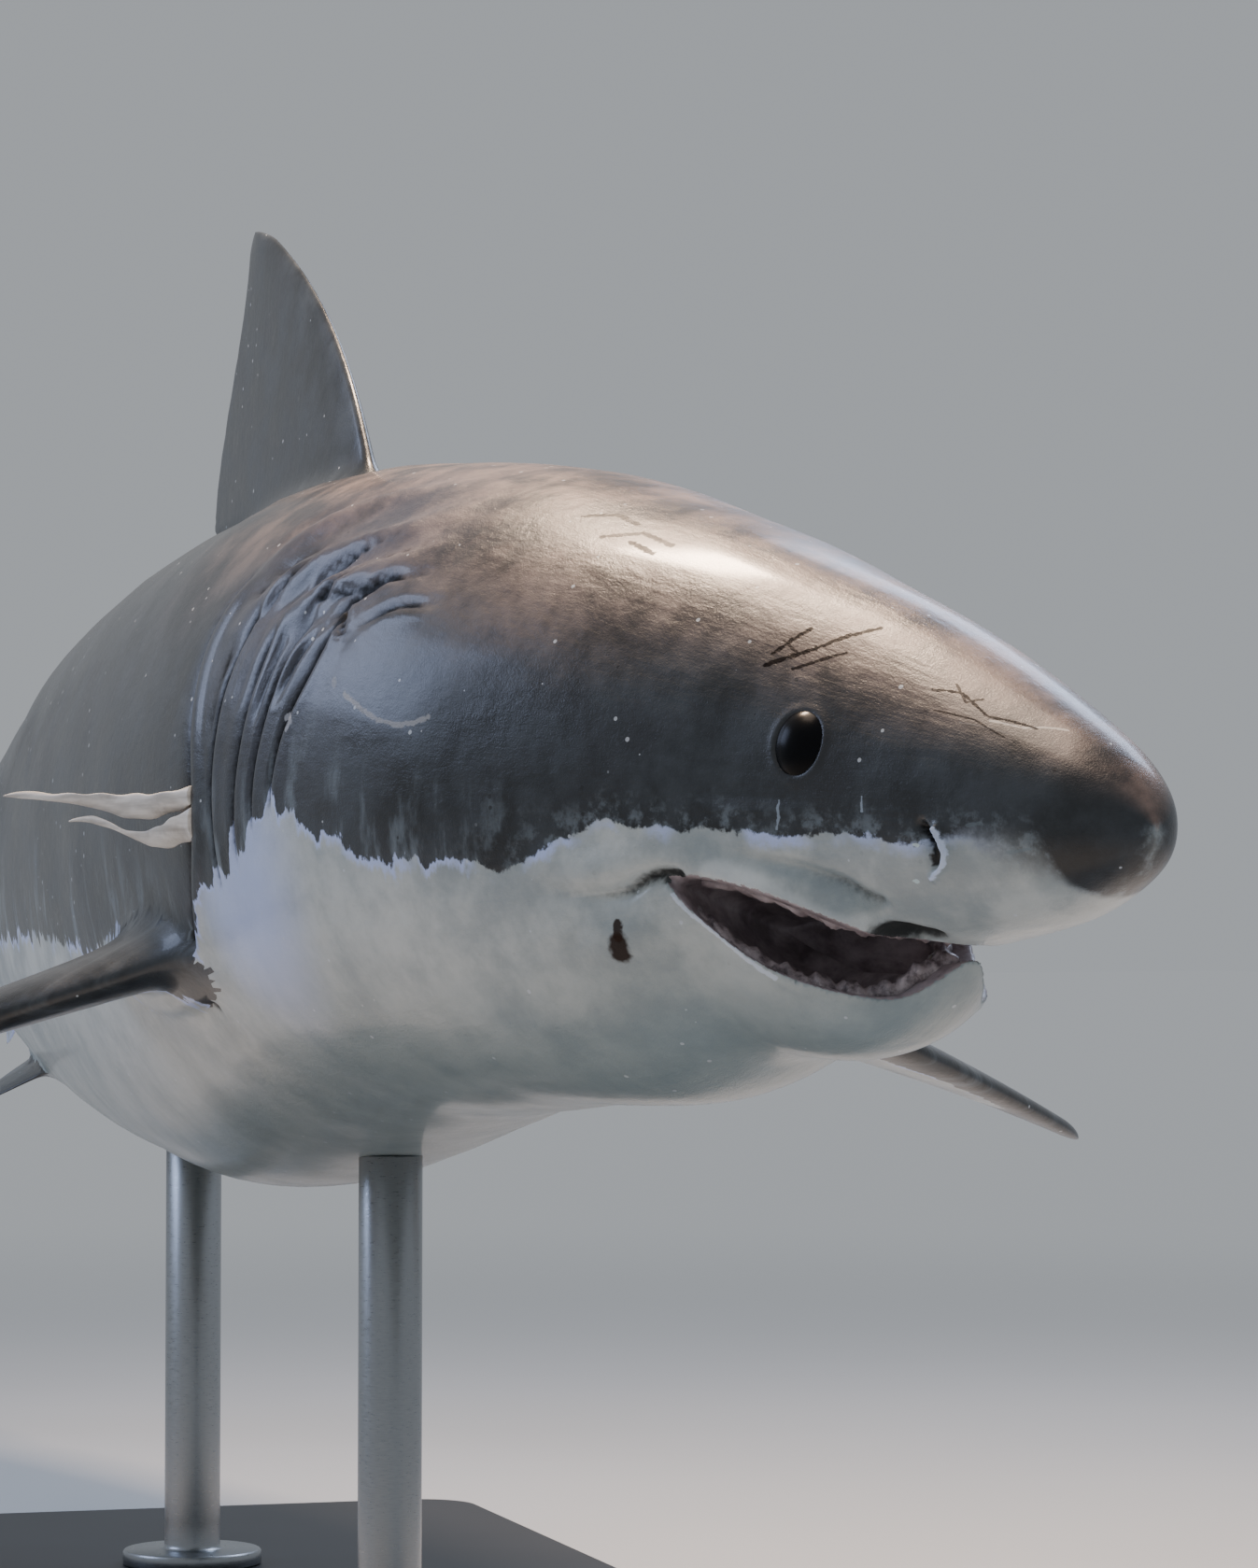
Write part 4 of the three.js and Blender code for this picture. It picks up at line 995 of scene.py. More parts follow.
# ------------------------------------------------------------------ eyes, gums and teeth
def add_eye(name, sign):
    """Eyeball: a flattened ellipsoid sunk into the rim, on a grid of latitude and longitude."""
    point, normal, _, upright = surface_frame(EYE_AT, sign * EYE_ANGLE)
    forward = np.cross(upright, normal)
    tilt, turn = np.meshgrid(np.linspace(0, np.pi, 42)[1:-1],
                             np.linspace(0, 2 * np.pi, 72, endpoint=False), indexing="ij")
    centre = point - normal * EYE_SUNK
    ball = (centre + np.sin(tilt)[..., None] * (
        np.cos(turn)[..., None] * EYE_WIDE * forward + np.sin(turn)[..., None] * EYE_TALL * upright)
        + np.cos(tilt)[..., None] * EYE_THICK * normal)
    piece = closed_tube(name, to_frame(ball), to_frame(centre + normal * EYE_THICK),
                        to_frame(centre - normal * EYE_THICK))
    return piece


eye_right = add_eye("eyeball_right", 1)
eye_left = add_eye("eyeball_left", -1)


def add_gum(name, lip, bow, inward, thick):
    """A fleshy ridge along a lip: a lumpy oval section carried along the arch."""
    side = np.linspace(-0.93, 0.93, 150)
    centre = mouth_point(side, np.full(side.shape, inward), lip, bow)
    ahead = unit(np.gradient(centre, axis=0))
    raised = np.array([0, 0, 1.0])
    across = unit(np.cross(ahead, raised))
    turn = np.linspace(0, 2 * np.pi, 18, endpoint=False)
    lumps = 1 + 0.2 * np.sin(52 * side[:, None] + 2 * np.sin(turn)) + 0.16 * np.sin(
        117 * side[:, None] + 3 * turn)
    size = thick * (1 - 0.55 * np.abs(side[:, None]) ** 3) * lumps
    rings = (centre[:, None] + across[:, None] * (size * np.cos(turn) * 1.25)[..., None]
             + raised * (size * np.sin(turn))[..., None])
    return closed_tube(name, to_frame(rings), to_frame(centre[0]), to_frame(centre[-1]))


gum_upper = add_gum("gum_upper", upper_lip, bow=1, inward=0.13, thick=8.0)
gum_lower = add_gum("gum_lower", lower_lip, bow=-1, inward=0.15, thick=11.0)


def add_teeth(name, lip, count, upward, inward, tall, wide, reach):
    """A row of triangular blades joined into one mesh. Each is a diamond section that narrows to
    a point, with a fine saw edge, and leans with the arch."""
    rows, around = 9, 12
    climb = np.linspace(0, 1, rows)
    turn = np.linspace(0, 2 * np.pi, around, endpoint=False)
    width = (1 - climb) ** 0.9 * (1 + 0.05 * np.cos(climb * 50))
    flat = 0.3 * (1 - 0.75 * climb)
    blade = np.stack([np.cos(turn) * width[:, None] / 2, np.sin(turn) * (width * flat)[:, None] / 2,
                      np.repeat(climb[:, None], around, 1)], -1)
    side = (np.arange(count) + 0.5) / count * 2 * reach - reach
    sign = 1 if upward else -1
    seat = mouth_point(side, np.full(side.shape, inward), lip, -sign)
    nearby = mouth_point(side + 0.02, np.full(side.shape, inward), lip, -sign)
    tangent = unit((nearby - seat) * [1, 1, 0])
    outward = np.cross([0, 0, 1.0], tangent)
    up = np.array([0, 0, sign])
    size = (1 - 0.5 * np.abs(side) ** 1.5) * (1 + 0.07 * np.sin(np.arange(count) * 2.4))
    points, quads, tris = [], [], []
    for k in range(count):
        lean = up + sign * 0.12 * outward[k] - 0.18 * side[k] * tangent[k]
        body = (seat[k] + blade[..., :1] * wide * size[k] * tangent[k]
                + blade[..., 1:2] * wide * size[k] * outward[k]
                + blade[..., 2:] * tall * size[k] * lean)
        start = sum(len(p) for p in points)
        points.append(np.vstack([body.reshape(-1, 3), seat[k], body[-1].mean(0)]))
        quads.append(tube_faces(rows, around, start))
        end = start + rows * around
        tris += [cap_faces(start, around, end, True),
                 cap_faces(end - around, around, end + 1, False)]
    piece = add_piece(name, to_frame(np.vstack(points)), np.vstack(quads), np.vstack(tris))
    face_outward(piece)
    return piece


teeth_upper = add_teeth("teeth_upper", upper_lip, count=24, upward=False, inward=0.2, tall=10,
                        wide=12, reach=0.84)
teeth_lower = add_teeth("teeth_lower", lower_lip, count=24, upward=True, inward=0.17, tall=11,
                        wide=9, reach=0.84)


# ------------------------------------------------------------------ torn strips behind the gills
def add_strip(name, at, angle, length, wide, widths, drift, curl):
    """A ribbon of torn skin: its centre line leaves the side, drifts and sags by sines; the
    section is a thin rolled band whose width follows knots along it."""
    t = np.linspace(0, 1, 90)
    point, normal, along, upright = surface_frame(at, np.radians(angle))
    centre = (point + normal * 5.5 - along * (length * t)[:, None]
              + normal * (0.42 * length * t ** 1.3)[:, None]
              + upright * (-7 * np.sin(5.5 * t) - 6 * t + drift(t))[:, None])
    half = wide / 2 * monotone(*zip(*widths))(t)
    twist = curl * np.sin(3.4 * t) + 0.25 * np.sin(13 * t)
    turn = np.linspace(0, 2 * np.pi, 22, endpoint=False)
    flat = np.cos(turn) * half[:, None] * (1 + 0.07 * np.sin(37 * t[:, None] + 2 * np.cos(turn)))
    thick = 1.3 + 0.6 * (1 - t[:, None])
    rolled = np.sin(turn) * thick - 0.16 * flat ** 2 / np.maximum(half[:, None], 3)
    up = upright * np.cos(twist)[:, None] + normal * np.sin(twist)[:, None]
    out = normal * np.cos(twist)[:, None] - upright * np.sin(twist)[:, None]
    rings = centre[:, None] + up[:, None] * flat[..., None] + out[:, None] * rolled[..., None]
    return closed_tube(name, to_frame(rings), to_frame(rings[0].mean(0)), to_frame(rings[-1].mean(0)))


strip_upper = add_strip(
    "torn_strip_upper", at=0.2495, angle=91.5, length=236, wide=22,
    widths=[(0, 0.75), (0.12, 0.85), (0.3, 1.05), (0.5, 0.92), (0.68, 0.5), (0.78, 0.3),
            (0.88, 0.34), (1, 0.06)],
    drift=lambda t: 5 * smooth((t - 0.75) / 0.25), curl=0.5)
strip_lower = add_strip(
    "torn_strip_lower", at=0.2495, angle=96.6, length=150, wide=24,
    widths=[(0, 1.1), (0.2, 1.0), (0.42, 0.62), (0.6, 0.34), (0.8, 0.3), (1, 0.06)],
    drift=lambda t: 13 * smooth((t - 0.45) / 0.55) - 4 * smooth(t / 0.5), curl=0.6)


# ------------------------------------------------------------------ stand
PLATE_LONG, PLATE_WIDE, PLATE_CORNER, PLATE_BEVEL = 1.75, 0.82, 0.07, 0.003
PLATE_TURN = np.radians(-20)
ROD_RADIUS, FLANGE_RADIUS, FLANGE_THICK = 0.03, 0.075, 0.016


def add_plate(name, low, high):
    """Flat plate: rings of one rounded rectangle, each corner a quarter circle, pulled in at the
    bevels; the centre line of each face is a pole."""
    turn = np.linspace(0, np.pi / 2, 13)
    corner = np.concatenate([turn + k * np.pi / 2 for k in range(4)])
    middle = np.repeat([[1, 1], [-1, 1], [-1, -1], [1, -1]], 13, axis=0)
    inset = np.array([0.02, PLATE_BEVEL * 1.2, PLATE_BEVEL, 0, 0, PLATE_BEVEL, PLATE_BEVEL * 1.2,
                      0.02])[:, None]
    tall = np.array([0, 0, 0, PLATE_BEVEL, -PLATE_BEVEL, 0, 0, 0])[:, None]
    base = np.where(np.arange(8) < 4, low.z, high.z)[:, None]
    x = middle[:, 0] * (PLATE_LONG / 2 - PLATE_CORNER) + (PLATE_CORNER - inset) * np.cos(corner)
    y = middle[:, 1] * (PLATE_WIDE / 2 - PLATE_CORNER) + (PLATE_CORNER - inset) * np.sin(corner)
    centre = np.array([(low.x + high.x) / 2, (low.y + high.y) / 2])
    rings = np.stack([centre[0] + x * np.cos(PLATE_TURN) - y * np.sin(PLATE_TURN),
                      centre[1] + x * np.sin(PLATE_TURN) + y * np.cos(PLATE_TURN),
                      base + tall + 0 * x], -1)
    return closed_tube(name, rings, [*centre, low.z], [*centre, high.z])


def add_rod(name, low, high):
    """Upright round rod on a flange: a profile of radius and height turned about its axis."""
    edge = 0.0015
    profile = np.array([
        (FLANGE_RADIUS - edge, 0), (FLANGE_RADIUS, edge), (FLANGE_RADIUS, FLANGE_THICK - 2 * edge),
        (FLANGE_RADIUS - edge, FLANGE_THICK - edge / 2), (FLANGE_RADIUS - 2 * edge, FLANGE_THICK),
        (ROD_RADIUS + 4 * edge, FLANGE_THICK), (ROD_RADIUS + 2 * edge, FLANGE_THICK + edge / 2),
        (ROD_RADIUS + edge / 2, FLANGE_THICK + 2 * edge), (ROD_RADIUS, FLANGE_THICK + 4 * edge),
        (ROD_RADIUS, FLANGE_THICK + 0.03), (ROD_RADIUS, high.z - low.z - edge),
        (ROD_RADIUS - edge, high.z - low.z)])
    turn = np.linspace(0, 2 * np.pi, 72, endpoint=False)
    centre = np.array([(low.x + high.x) / 2, (low.y + high.y) / 2])
    rings = np.stack([centre[0] + profile[:, :1] * np.cos(turn),
                      centre[1] + profile[:, :1] * np.sin(turn),
                      low.z + profile[:, 1:] + 0 * turn], -1)
    return closed_tube(name, rings, [*centre, low.z], [*centre, high.z])


plate = add_plate("display_plate", *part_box("stand_base"))
rod_front = add_rod("display_rod_front", *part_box("stand_rod_front"))
rod_rear = add_rod("display_rod_rear", *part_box("stand_rod_rear"))


# ------------------------------------------------------------------ materials
def linear(code):
    """An sRGB hex colour as linear light."""
    parts = np.array([int(code[k:k + 2], 16) for k in (1, 3, 5)]) / 255
    return (*np.where(parts <= 0.04045, parts / 12.92, ((parts + 0.055) / 1.055) ** 2.4), 1.0)


def node(tree, kind, inputs=(), out=0, **settings):
    """Adds one shader node: sets its properties, fills or links its inputs by name or number, and
    returns one of its outputs."""
    made = tree.nodes.new("ShaderNode" + kind)
    for key, value in settings.items():
        setattr(made, key, value)
    for key, value in dict(inputs).items():
        if isinstance(value, bpy.types.NodeSocket):
            tree.links.new(value, made.inputs[key])
        else:
            made.inputs[key].default_value = value
    return made.outputs[out] if made.outputs else None


def new_material(name):
    """An empty material, and node() bound to its tree."""
    made = bpy.data.materials.new(name)
    made.use_nodes = True
    made.node_tree.nodes.clear()
    return made, partial(node, made.node_tree)


BACKDROP, BACKDROP_GLOW = "#d3d8de", 0.58
EASED = {"interpolation_type": "SMOOTHSTEP"}
COLOURS = {"data_type": "RGBA"}


def stroke(add, flat, knots, half_width, ragged):
    """A mark along (station, degrees) knots on the side: 1 on the line, fading to 0 round
    half_width millimetres away; the distance to each straight stretch is to its nearest point,
    and the least of them counts. A ragged noise eats into the edge, up to 6 mm deep."""
    spots = [np.array([at * LENGTH / 1000, np.radians(turn) * GIRTH, 0.0]) for at, turn in knots]
    nearest = None
    for start, end in zip(spots, spots[1:]):
        step = end - start
        away = add("VectorMath", {0: flat, 1: tuple(start)}, operation="SUBTRACT")
        share = add("VectorMath", {0: away, 1: tuple(step / (step @ step))}, "Value",
                    operation="DOT_PRODUCT")
        share = add("MapRange", {"Value": share})
        foot = add("Mix", {4: tuple(start), 5: tuple(end), 0: share}, 1, data_type="VECTOR")
        far = add("VectorMath", {0: flat, 1: foot}, "Value", operation="DISTANCE")
        nearest = far if nearest is None else add("Math", {0: nearest, 1: far},
                                                  operation="MINIMUM")
    half = half_width / 1000
    bite = min(half * 3.0, 0.006)
    worn = add("Math", {0: ragged, 1: bite, 2: nearest}, operation="MULTIPLY_ADD")
    return add("MapRange", {"Value": worn, "From Min": half * 1.4 + bite / 2,
                            "From Max": half * 0.7 + bite / 2}, **EASED)


# Marks on the right side: (station, degrees) knots, half-width in mm, colour and strength.
SCARS = [
    # pale crescent behind the head and a dot above it
    ([(0.187, 73), (0.179, 76), (0.174, 77.5), (0.168, 78.3), (0.1635, 77.5), (0.16, 76)], 1.7,
     "#a7aab0", 0.6),
    ([(0.1921, 70.5), (0.1915, 71.2)], 2.6, "#8f97a3", 0.6),
    # curved weal between two gill slits
    ([(0.2085, 77.5), (0.2065, 76.3), (0.205, 78.3), (0.2062, 80)], 1.7, "#b4bac6", 0.6),
    # long scratches on the snout and above the eye, dark unless healed white
    ([(0.032, 39.5), (0.0255, 36), (0.0187, 22)], 1.5, "#ded8d2", 0.9),
    ([(0.0375, 45.5), (0.031, 43), (0.026, 42)], 1.1, "#8d8a88", 0.6),
    ([(0.086, 46.5), (0.078, 37.5), (0.0735, 30), (0.0683, 22)], 2.1, "#171313", 0.95),
    ([(0.0857, 42.5), (0.0816, 31.5)], 1.9, "#171313", 0.95),
    ([(0.0795, 45), (0.0705, 34.5)], 1.6, "#171313", 0.9),
    ([(0.085, 38), (0.08, 40), (0.0775, 36)], 1.4, "#171313", 0.8),
    ([(0.047, 36), (0.041, 32.5), (0.033, 38), (0.0235, 32.5)], 1.9, "#191616", 0.9),
    ([(0.044, 44), (0.035, 42), (0.0275, 45)], 1.5, "#191616", 0.8),
    ([(0.0435, 30), (0.039, 36), (0.0365, 31)], 1.4, "#191616", 0.8),
    ([(0.1438, 28), (0.1365, 23), (0.127, 24)], 2.4, "#241f1d", 0.8),
    ([(0.1365, 27), (0.1285, 28)], 2.2, "#1f1b1a", 0.9),
    ([(0.155, 24), (0.149, 20), (0.141, 21)], 2.2, "#1f1b1a", 0.8),
    ([(0.0548, 84), (0.0545, 90)], 1.0, "#a9b9cc", 0.6),
    ([(0.0748, 88), (0.074, 94), (0.0745, 98)], 1.0, "#a9b9cc", 0.55),
    ([(0.0295, 93.5), (0.0275, 92)], 3.0, "#6c7880", 0.55),
    ([(0.0212, 108), (0.0178, 107)], 3.4, "#75828a", 0.5),
    # pale flecks beside the nostril
    ([(0.0419, 103), (0.0414, 103.6)], 2.2, "#cfe2e6", 0.8),
    ([(0.0438, 119.8), (0.0435, 120.6)], 2.2, "#cfe2e6", 0.8),
    # dark sore under the jaw's corner, pointed above and round below
    ([(0.1128, 121.6), (0.1131, 124.5)], 3.6, "#2b1e18", 0.93),
    ([(0.1133, 125.8), (0.1137, 128.4)], 8.0, "#2b1e18", 0.95),
]


# Marks on both sides, in the same terms: painted light and shade at the lips and nostrils.
PAIRED_PAINTED_SHADING = [
    (LIP_PAD_TOP, 12.0, "#6f8188", 0.25),  # painted shade above the lip pad
    (LIP_PAD[1:], 13.0, "#dbe4e8", 0.35),  # painted highlight on the pad's crest
    (LOWER_LIP[:5], 2.4, "#d2def2", 0.7),  # painted highlight along the rim of the lower lip
    # painted shade in the nostril's slit
    (NOSTRIL_SLIT, 3.6, "#0a0b0d", 1.0),
    # painted highlight on the nostril's flap
    (NOSTRIL_FLAP, 2.6, "#c6d6f2", 1.0),
]


def hide_fields(add):
    """What the hide's patterns share: the place on the body, masks along it and noises."""
    on = SimpleNamespace()
    on.spot = add("TexCoord", out="Object")
    on.shade = add("Attribute", out="Fac", attribute_name="shade")
    on.along = add("SeparateXYZ", {0: add("Attribute", out="Vector", attribute_name="flesh")})
    on.girth, side = on.along.node.outputs[1], on.along.node.outputs[2]
    on.flat = add("CombineXYZ", {"X": on.along, "Y": on.girth})
    on.right = add("MapRange", {"Value": side, "From Max": 0.05}, **EASED)
    on.behind = add("MapRange", {"Value": on.along, "From Min": 0.44, "From Max": 0.62}, **EASED)
    on.past_snout = add("MapRange", {"Value": on.along, "From Min": 0.06, "From Max": 0.2},
                        **EASED)
    on.ragged = add("TexNoise", {"Vector": on.spot, "Scale": 1 / 0.005, "Detail": 4.0})
    on.slow = add("TexNoise", {"Vector": on.spot, "Scale": 1 / 0.07, "Detail": 2.0})
    on.teeth = add("TexNoise", {"Vector": on.spot, "Scale": 1 / 0.014, "Detail": 5.0,
                                "Roughness": 0.66})
    runs = add("Mapping", {"Vector": on.flat, "Scale": (1, 0.3, 1)})
    on.runs = add("TexNoise", {"Vector": runs, "Scale": 1 / 0.03, "Detail": 5.0,
                               "Roughness": 0.62})
    on.mottle = add("TexNoise", {"Vector": on.spot, "Scale": 1 / 0.07, "Detail": 7.0,
                                 "Roughness": 0.66})
    return on


def hide_edge(add, on):
    """How far a place lies past the shade line, in metres, once slow waves, runs that hang down
    behind the head and fine teeth have moved it; and how pale that makes it, from 0 to 1."""
    run_size = add("MapRange", {"Value": on.behind, "To Min": 0.014, "To Max": 0.085})
    edge = add("Math", {0: on.slow, 1: 0.024, 2: -0.0225}, operation="MULTIPLY_ADD")
    edge = add("Math", {0: on.teeth, 1: 0.021, 2: edge}, operation="MULTIPLY_ADD")
    hung = add("Math", {0: on.runs, 1: 0.5}, operation="SUBTRACT")
    edge = add("Math", {0: hung, 1: run_size, 2: edge}, operation="MULTIPLY_ADD")
    edge = add("Math", {0: on.shade, 1: 0.001, 2: edge}, operation="MULTIPLY_ADD")
    # the edge is crisp behind the nostril and melts away on the tip of the snout
    melt = add("MapRange", {"Value": on.along, "From Min": 0.16, "From Max": 0.06, "To Min": 1.0,
                            "To Max": 15.0}, **EASED)
    melted = add("Math", {0: edge, 1: melt}, operation="DIVIDE")
    pale = add("MapRange", {"Value": melted, "From Min": -0.0015, "From Max": 0.0018}, **EASED)
    return edge, pale


def dark_side(add, on, edge):
    """Colour of the back: mottled slate, warmer on the crown of the head and shoulders, where the
    warm cast is partly the hide's own tint and partly painted warm light from above.
    """
    share = add("MapRange", {"Value": on.mottle, "From Min": 0.32, "From Max": 0.68}, **EASED)
    slate = add("Mix", {0: share, 6: linear("#15181b"), 7: linear("#333a41")}, 2, **COLOURS)
    warm = add("Mix", {0: share, 6: linear("#352c2a"), 7: linear("#86726a")}, 2, **COLOURS)
    # the warm crown: partly the hide's own tint, partly painted warm light from above
    cloud = add("TexNoise", {"Vector": on.spot, "Scale": 1 / 0.3, "Detail": 3.0})
    crown = add("Math", {0: cloud, 1: 0.16, 2: on.girth}, operation="MULTIPLY_ADD")
    crown = add("MapRange", {"Value": crown, "From Min": 0.31, "From Max": 0.15}, **EASED)
    fore = add("MapRange", {"Value": on.along, "From Min": 1.3, "From Max": 0.85}, **EASED)
    crown = add("Math", {0: crown, 1: fore}, operation="MULTIPLY")
    back = add("Mix", {0: crown, 6: slate, 7: warm}, 2, **COLOURS)
    # painted sheen: a lilac-grey cast over the gills
    bloom = add("VectorMath", {0: on.flat, 1: (0.82, 0.17, 0)}, "Value", operation="DISTANCE")
    bloom = add("MapRange", {"Value": bloom, "From Min": 0.22, "From Max": 0.04,
                             "To Max": 0.4}, **EASED)
    back = add("Mix", {0: bloom, 6: back, 7: linear("#4b4e61")}, 2, **COLOURS)
    blotch = add("Mapping", {"Vector": on.spot, "Location": (3, 1, 7)})
    blotch = add("TexNoise", {"Vector": blotch, "Scale": 1 / 0.1, "Detail": 6.0,
                              "Roughness": 0.66})
    blotch = add("MapRange", {"Value": blotch, "From Min": 0.48, "From Max": 0.66,
                              "To Max": 0.6}, **EASED)
    back = add("Mix", {0: blotch, 6: back, 7: linear("#24262b")}, 2, **COLOURS)
    # dark flecks drawn out along the body
    fleck = add("Mapping", {"Vector": on.flat, "Scale": (0.4, 1, 1)})
    fleck = add("TexNoise", {"Vector": fleck, "Scale": 1 / 0.011, "Detail": 4.0,
                             "Roughness": 0.6})
    fleck = add("MapRange", {"Value": fleck, "From Min": 0.58, "From Max": 0.67,
                             "To Max": 0.7}, **EASED)
    fleck = add("Math", {0: fleck, 1: blotch}, operation="MULTIPLY")
    fleck = add("Math", {0: fleck, 1: on.past_snout}, operation="MULTIPLY")
    back = add("Mix", {0: fleck, 6: back, 7: linear("#17181b")}, 2, **COLOURS)
    # grey smears and streaks that feather up from the edge
    streak = add("MapRange", {"Value": on.runs, "From Min": 0.5, "From Max": 0.66}, **EASED)
    smear = add("MapRange", {"Value": on.teeth, "From Min": 0.45, "From Max": 0.65}, **EASED)
    smear = add("Mix", {0: on.behind, 2: smear, 3: streak}, data_type="FLOAT")
    band = add("MapRange", {"Value": on.behind, "To Min": -0.03, "To Max": -0.11})
    band = add("Math", {0: edge, 1: band}, operation="DIVIDE")
    band = add("MapRange", {"Value": band, "From Min": 1.0, "From Max": 0.0, "To Max": 0.6},
               **EASED)
    smear = add("Math", {0: smear, 1: band}, operation="MULTIPLY")
    return add("Mix", {0: smear, 6: back, 7: linear("#74818c")}, 2, **COLOURS)


def pale_side(add, on, edge):
    """Colour of the belly: off-white with cool clouds, greying further down with painted shade,
    and a bluish white painted highlight along the edge.
    """
    cloud = add("Mapping", {"Vector": on.spot, "Location": (5, 2, 1)})
    cloud = add("TexNoise", {"Vector": cloud, "Scale": 1 / 0.1, "Detail": 6.0,
                             "Roughness": 0.64})
    cloud = add("MapRange", {"Value": cloud, "From Min": 0.35, "From Max": 0.65}, **EASED)
    belly = add("Mix", {0: cloud, 6: linear("#929da2"), 7: linear("#bcc4c5")}, 2, **COLOURS)
    # painted shade: the belly greys toward teal further below the edge, on the underside
    low = add("MapRange", {"Value": on.shade, "From Min": 20.0, "From Max": 240.0,
                           "To Max": 0.7}, **EASED)
    belly = add("Mix", {0: low, 6: belly, 7: linear("#76898f")}, 2, **COLOURS)
    # painted highlight: a bluish white band in patches just under the edge
    painted_edge_light = add("MapRange", {"Value": edge, "From Min": 0.013, "From Max": 0.002}, **EASED)
    patchy = add("MapRange", {"Value": on.slow, "From Min": 0.42, "From Max": 0.56,
                              "To Max": 0.95}, **EASED)
    painted_edge_light = add("Math", {0: painted_edge_light, 1: patchy}, operation="MULTIPLY")
    painted_edge_light = add("Math", {0: painted_edge_light, 1: on.past_snout}, operation="MULTIPLY")
    # painted highlight, brightest on the flap before the last slit and the fingers by it
    painted_highlight = add("VectorMath", {0: on.flat, 1: (0.87, 0.375, 0)}, "Value", operation="DISTANCE")
    painted_highlight = add("MapRange", {"Value": painted_highlight, "From Min": 0.13, "From Max": 0.03,
                              "To Max": 0.8}, **EASED)
    painted_edge_light = add("Math", {0: painted_edge_light, 1: painted_highlight}, operation="MAXIMUM")
    return add("Mix", {0: painted_edge_light, 6: belly, 7: linear("#b6c7f4")}, 2, **COLOURS)


def hide_marks(add, on, colour):
    """Lays the painted shade of creases, painted light and shade at lips and nostrils, and scars
    over the colour. Returns it, and how dull each place is for having lost its wet film."""
    # painted shade: darker in the creases, grooves and hollows of the relief
    crease = add("Attribute", out="Fac", attribute_name="crease")
    crease = add("Math", {0: on.ragged, 1: 0.5, 2: crease}, operation="MULTIPLY_ADD")
    crease = add("MapRange", {"Value": crease, "From Min": 0.42, "From Max": 1.1,
                              "To Max": 0.93}, **EASED)
    colour = add("Mix", {0: crease, 6: colour, 7: linear("#131416")}, 2, **COLOURS)
    dull = crease
    for marks in (PAIRED_PAINTED_SHADING, SCARS):
        for knots, half, code, strength in marks:
            mark = stroke(add, on.flat, knots, half, on.ragged)
            mark = add("Math", {0: mark, 1: strength}, operation="MULTIPLY")
            if marks is SCARS:
                mark = add("Math", {0: mark, 1: on.right}, operation="MULTIPLY")
                dull = add("Math", {0: dull, 1: mark}, operation="MAXIMUM")
            colour = add("Mix", {0: mark, 6: colour, 7: linear(code)}, 2, **COLOURS)
    return colour, dull


def hide_specks(add, on, pale, colour):
    """Lays specks and pits over the colour: one in some of the cells of a net 13 mm wide."""
    cells = add("TexVoronoi", {"Vector": on.spot, "Scale": 1 / 0.013}, "Distance", feature="F1")
    chance = add("SeparateColor", {0: cells.node.outputs["Color"]})
    size = add("MapRange", {"Value": chance.node.outputs[1], "To Min": 0.06, "To Max": 0.16})
    inside = add("Math", {0: cells, 1: size}, operation="LESS_THAN")
    dark_only = add("MapRange", {"Value": pale, "To Min": 0.75, "To Max": 0.1})
    for start, end, code, strength in ((0.86, 0.87, "#c3ccd6", 0.7),
                                       (0.1, 0.09, "#101114", dark_only)):
        picked = add("MapRange", {"Value": chance, "From Min": start, "From Max": end})
        picked = add("Math", {0: picked, 1: inside}, operation="MULTIPLY")
        picked = add("Math", {0: picked, 1: strength}, operation="MULTIPLY")
        colour = add("Mix", {0: picked, 6: colour, 7: linear(code)}, 2, **COLOURS)
    return colour


def hide_grain(add, on):
    """Fine height of the hide: scales drawn about 1.6 mm apart, coarser than life so that they
    catch light, dents, and shallow wrinkles along the body that fade out on the snout."""
    grain = add("TexNoise", {"Vector": on.spot, "Scale": 1 / 0.0016, "Detail": 2.0,
                             "Roughness": 0.6})
    folds = add("Mapping", {"Vector": on.flat, "Scale": (0.3, 1, 1)})
    folds = add("TexNoise", {"Vector": folds, "Scale": 1 / 0.017, "Detail": 5.0,
                             "Roughness": 0.6})
    folds = add("Math", {0: folds, 1: on.past_snout}, operation="MULTIPLY")
    dents = add("TexNoise", {"Vector": on.spot, "Scale": 1 / 0.02, "Detail": 5.0,
                             "Roughness": 0.6})
    height = add("Math", {0: folds, 1: 3.6, 2: grain}, operation="MULTIPLY_ADD")
    height = add("Math", {0: dents, 1: 3.0, 2: height}, operation="MULTIPLY_ADD")
    return add("Bump", {"Strength": 0.5, "Distance": 0.0006, "Height": height})


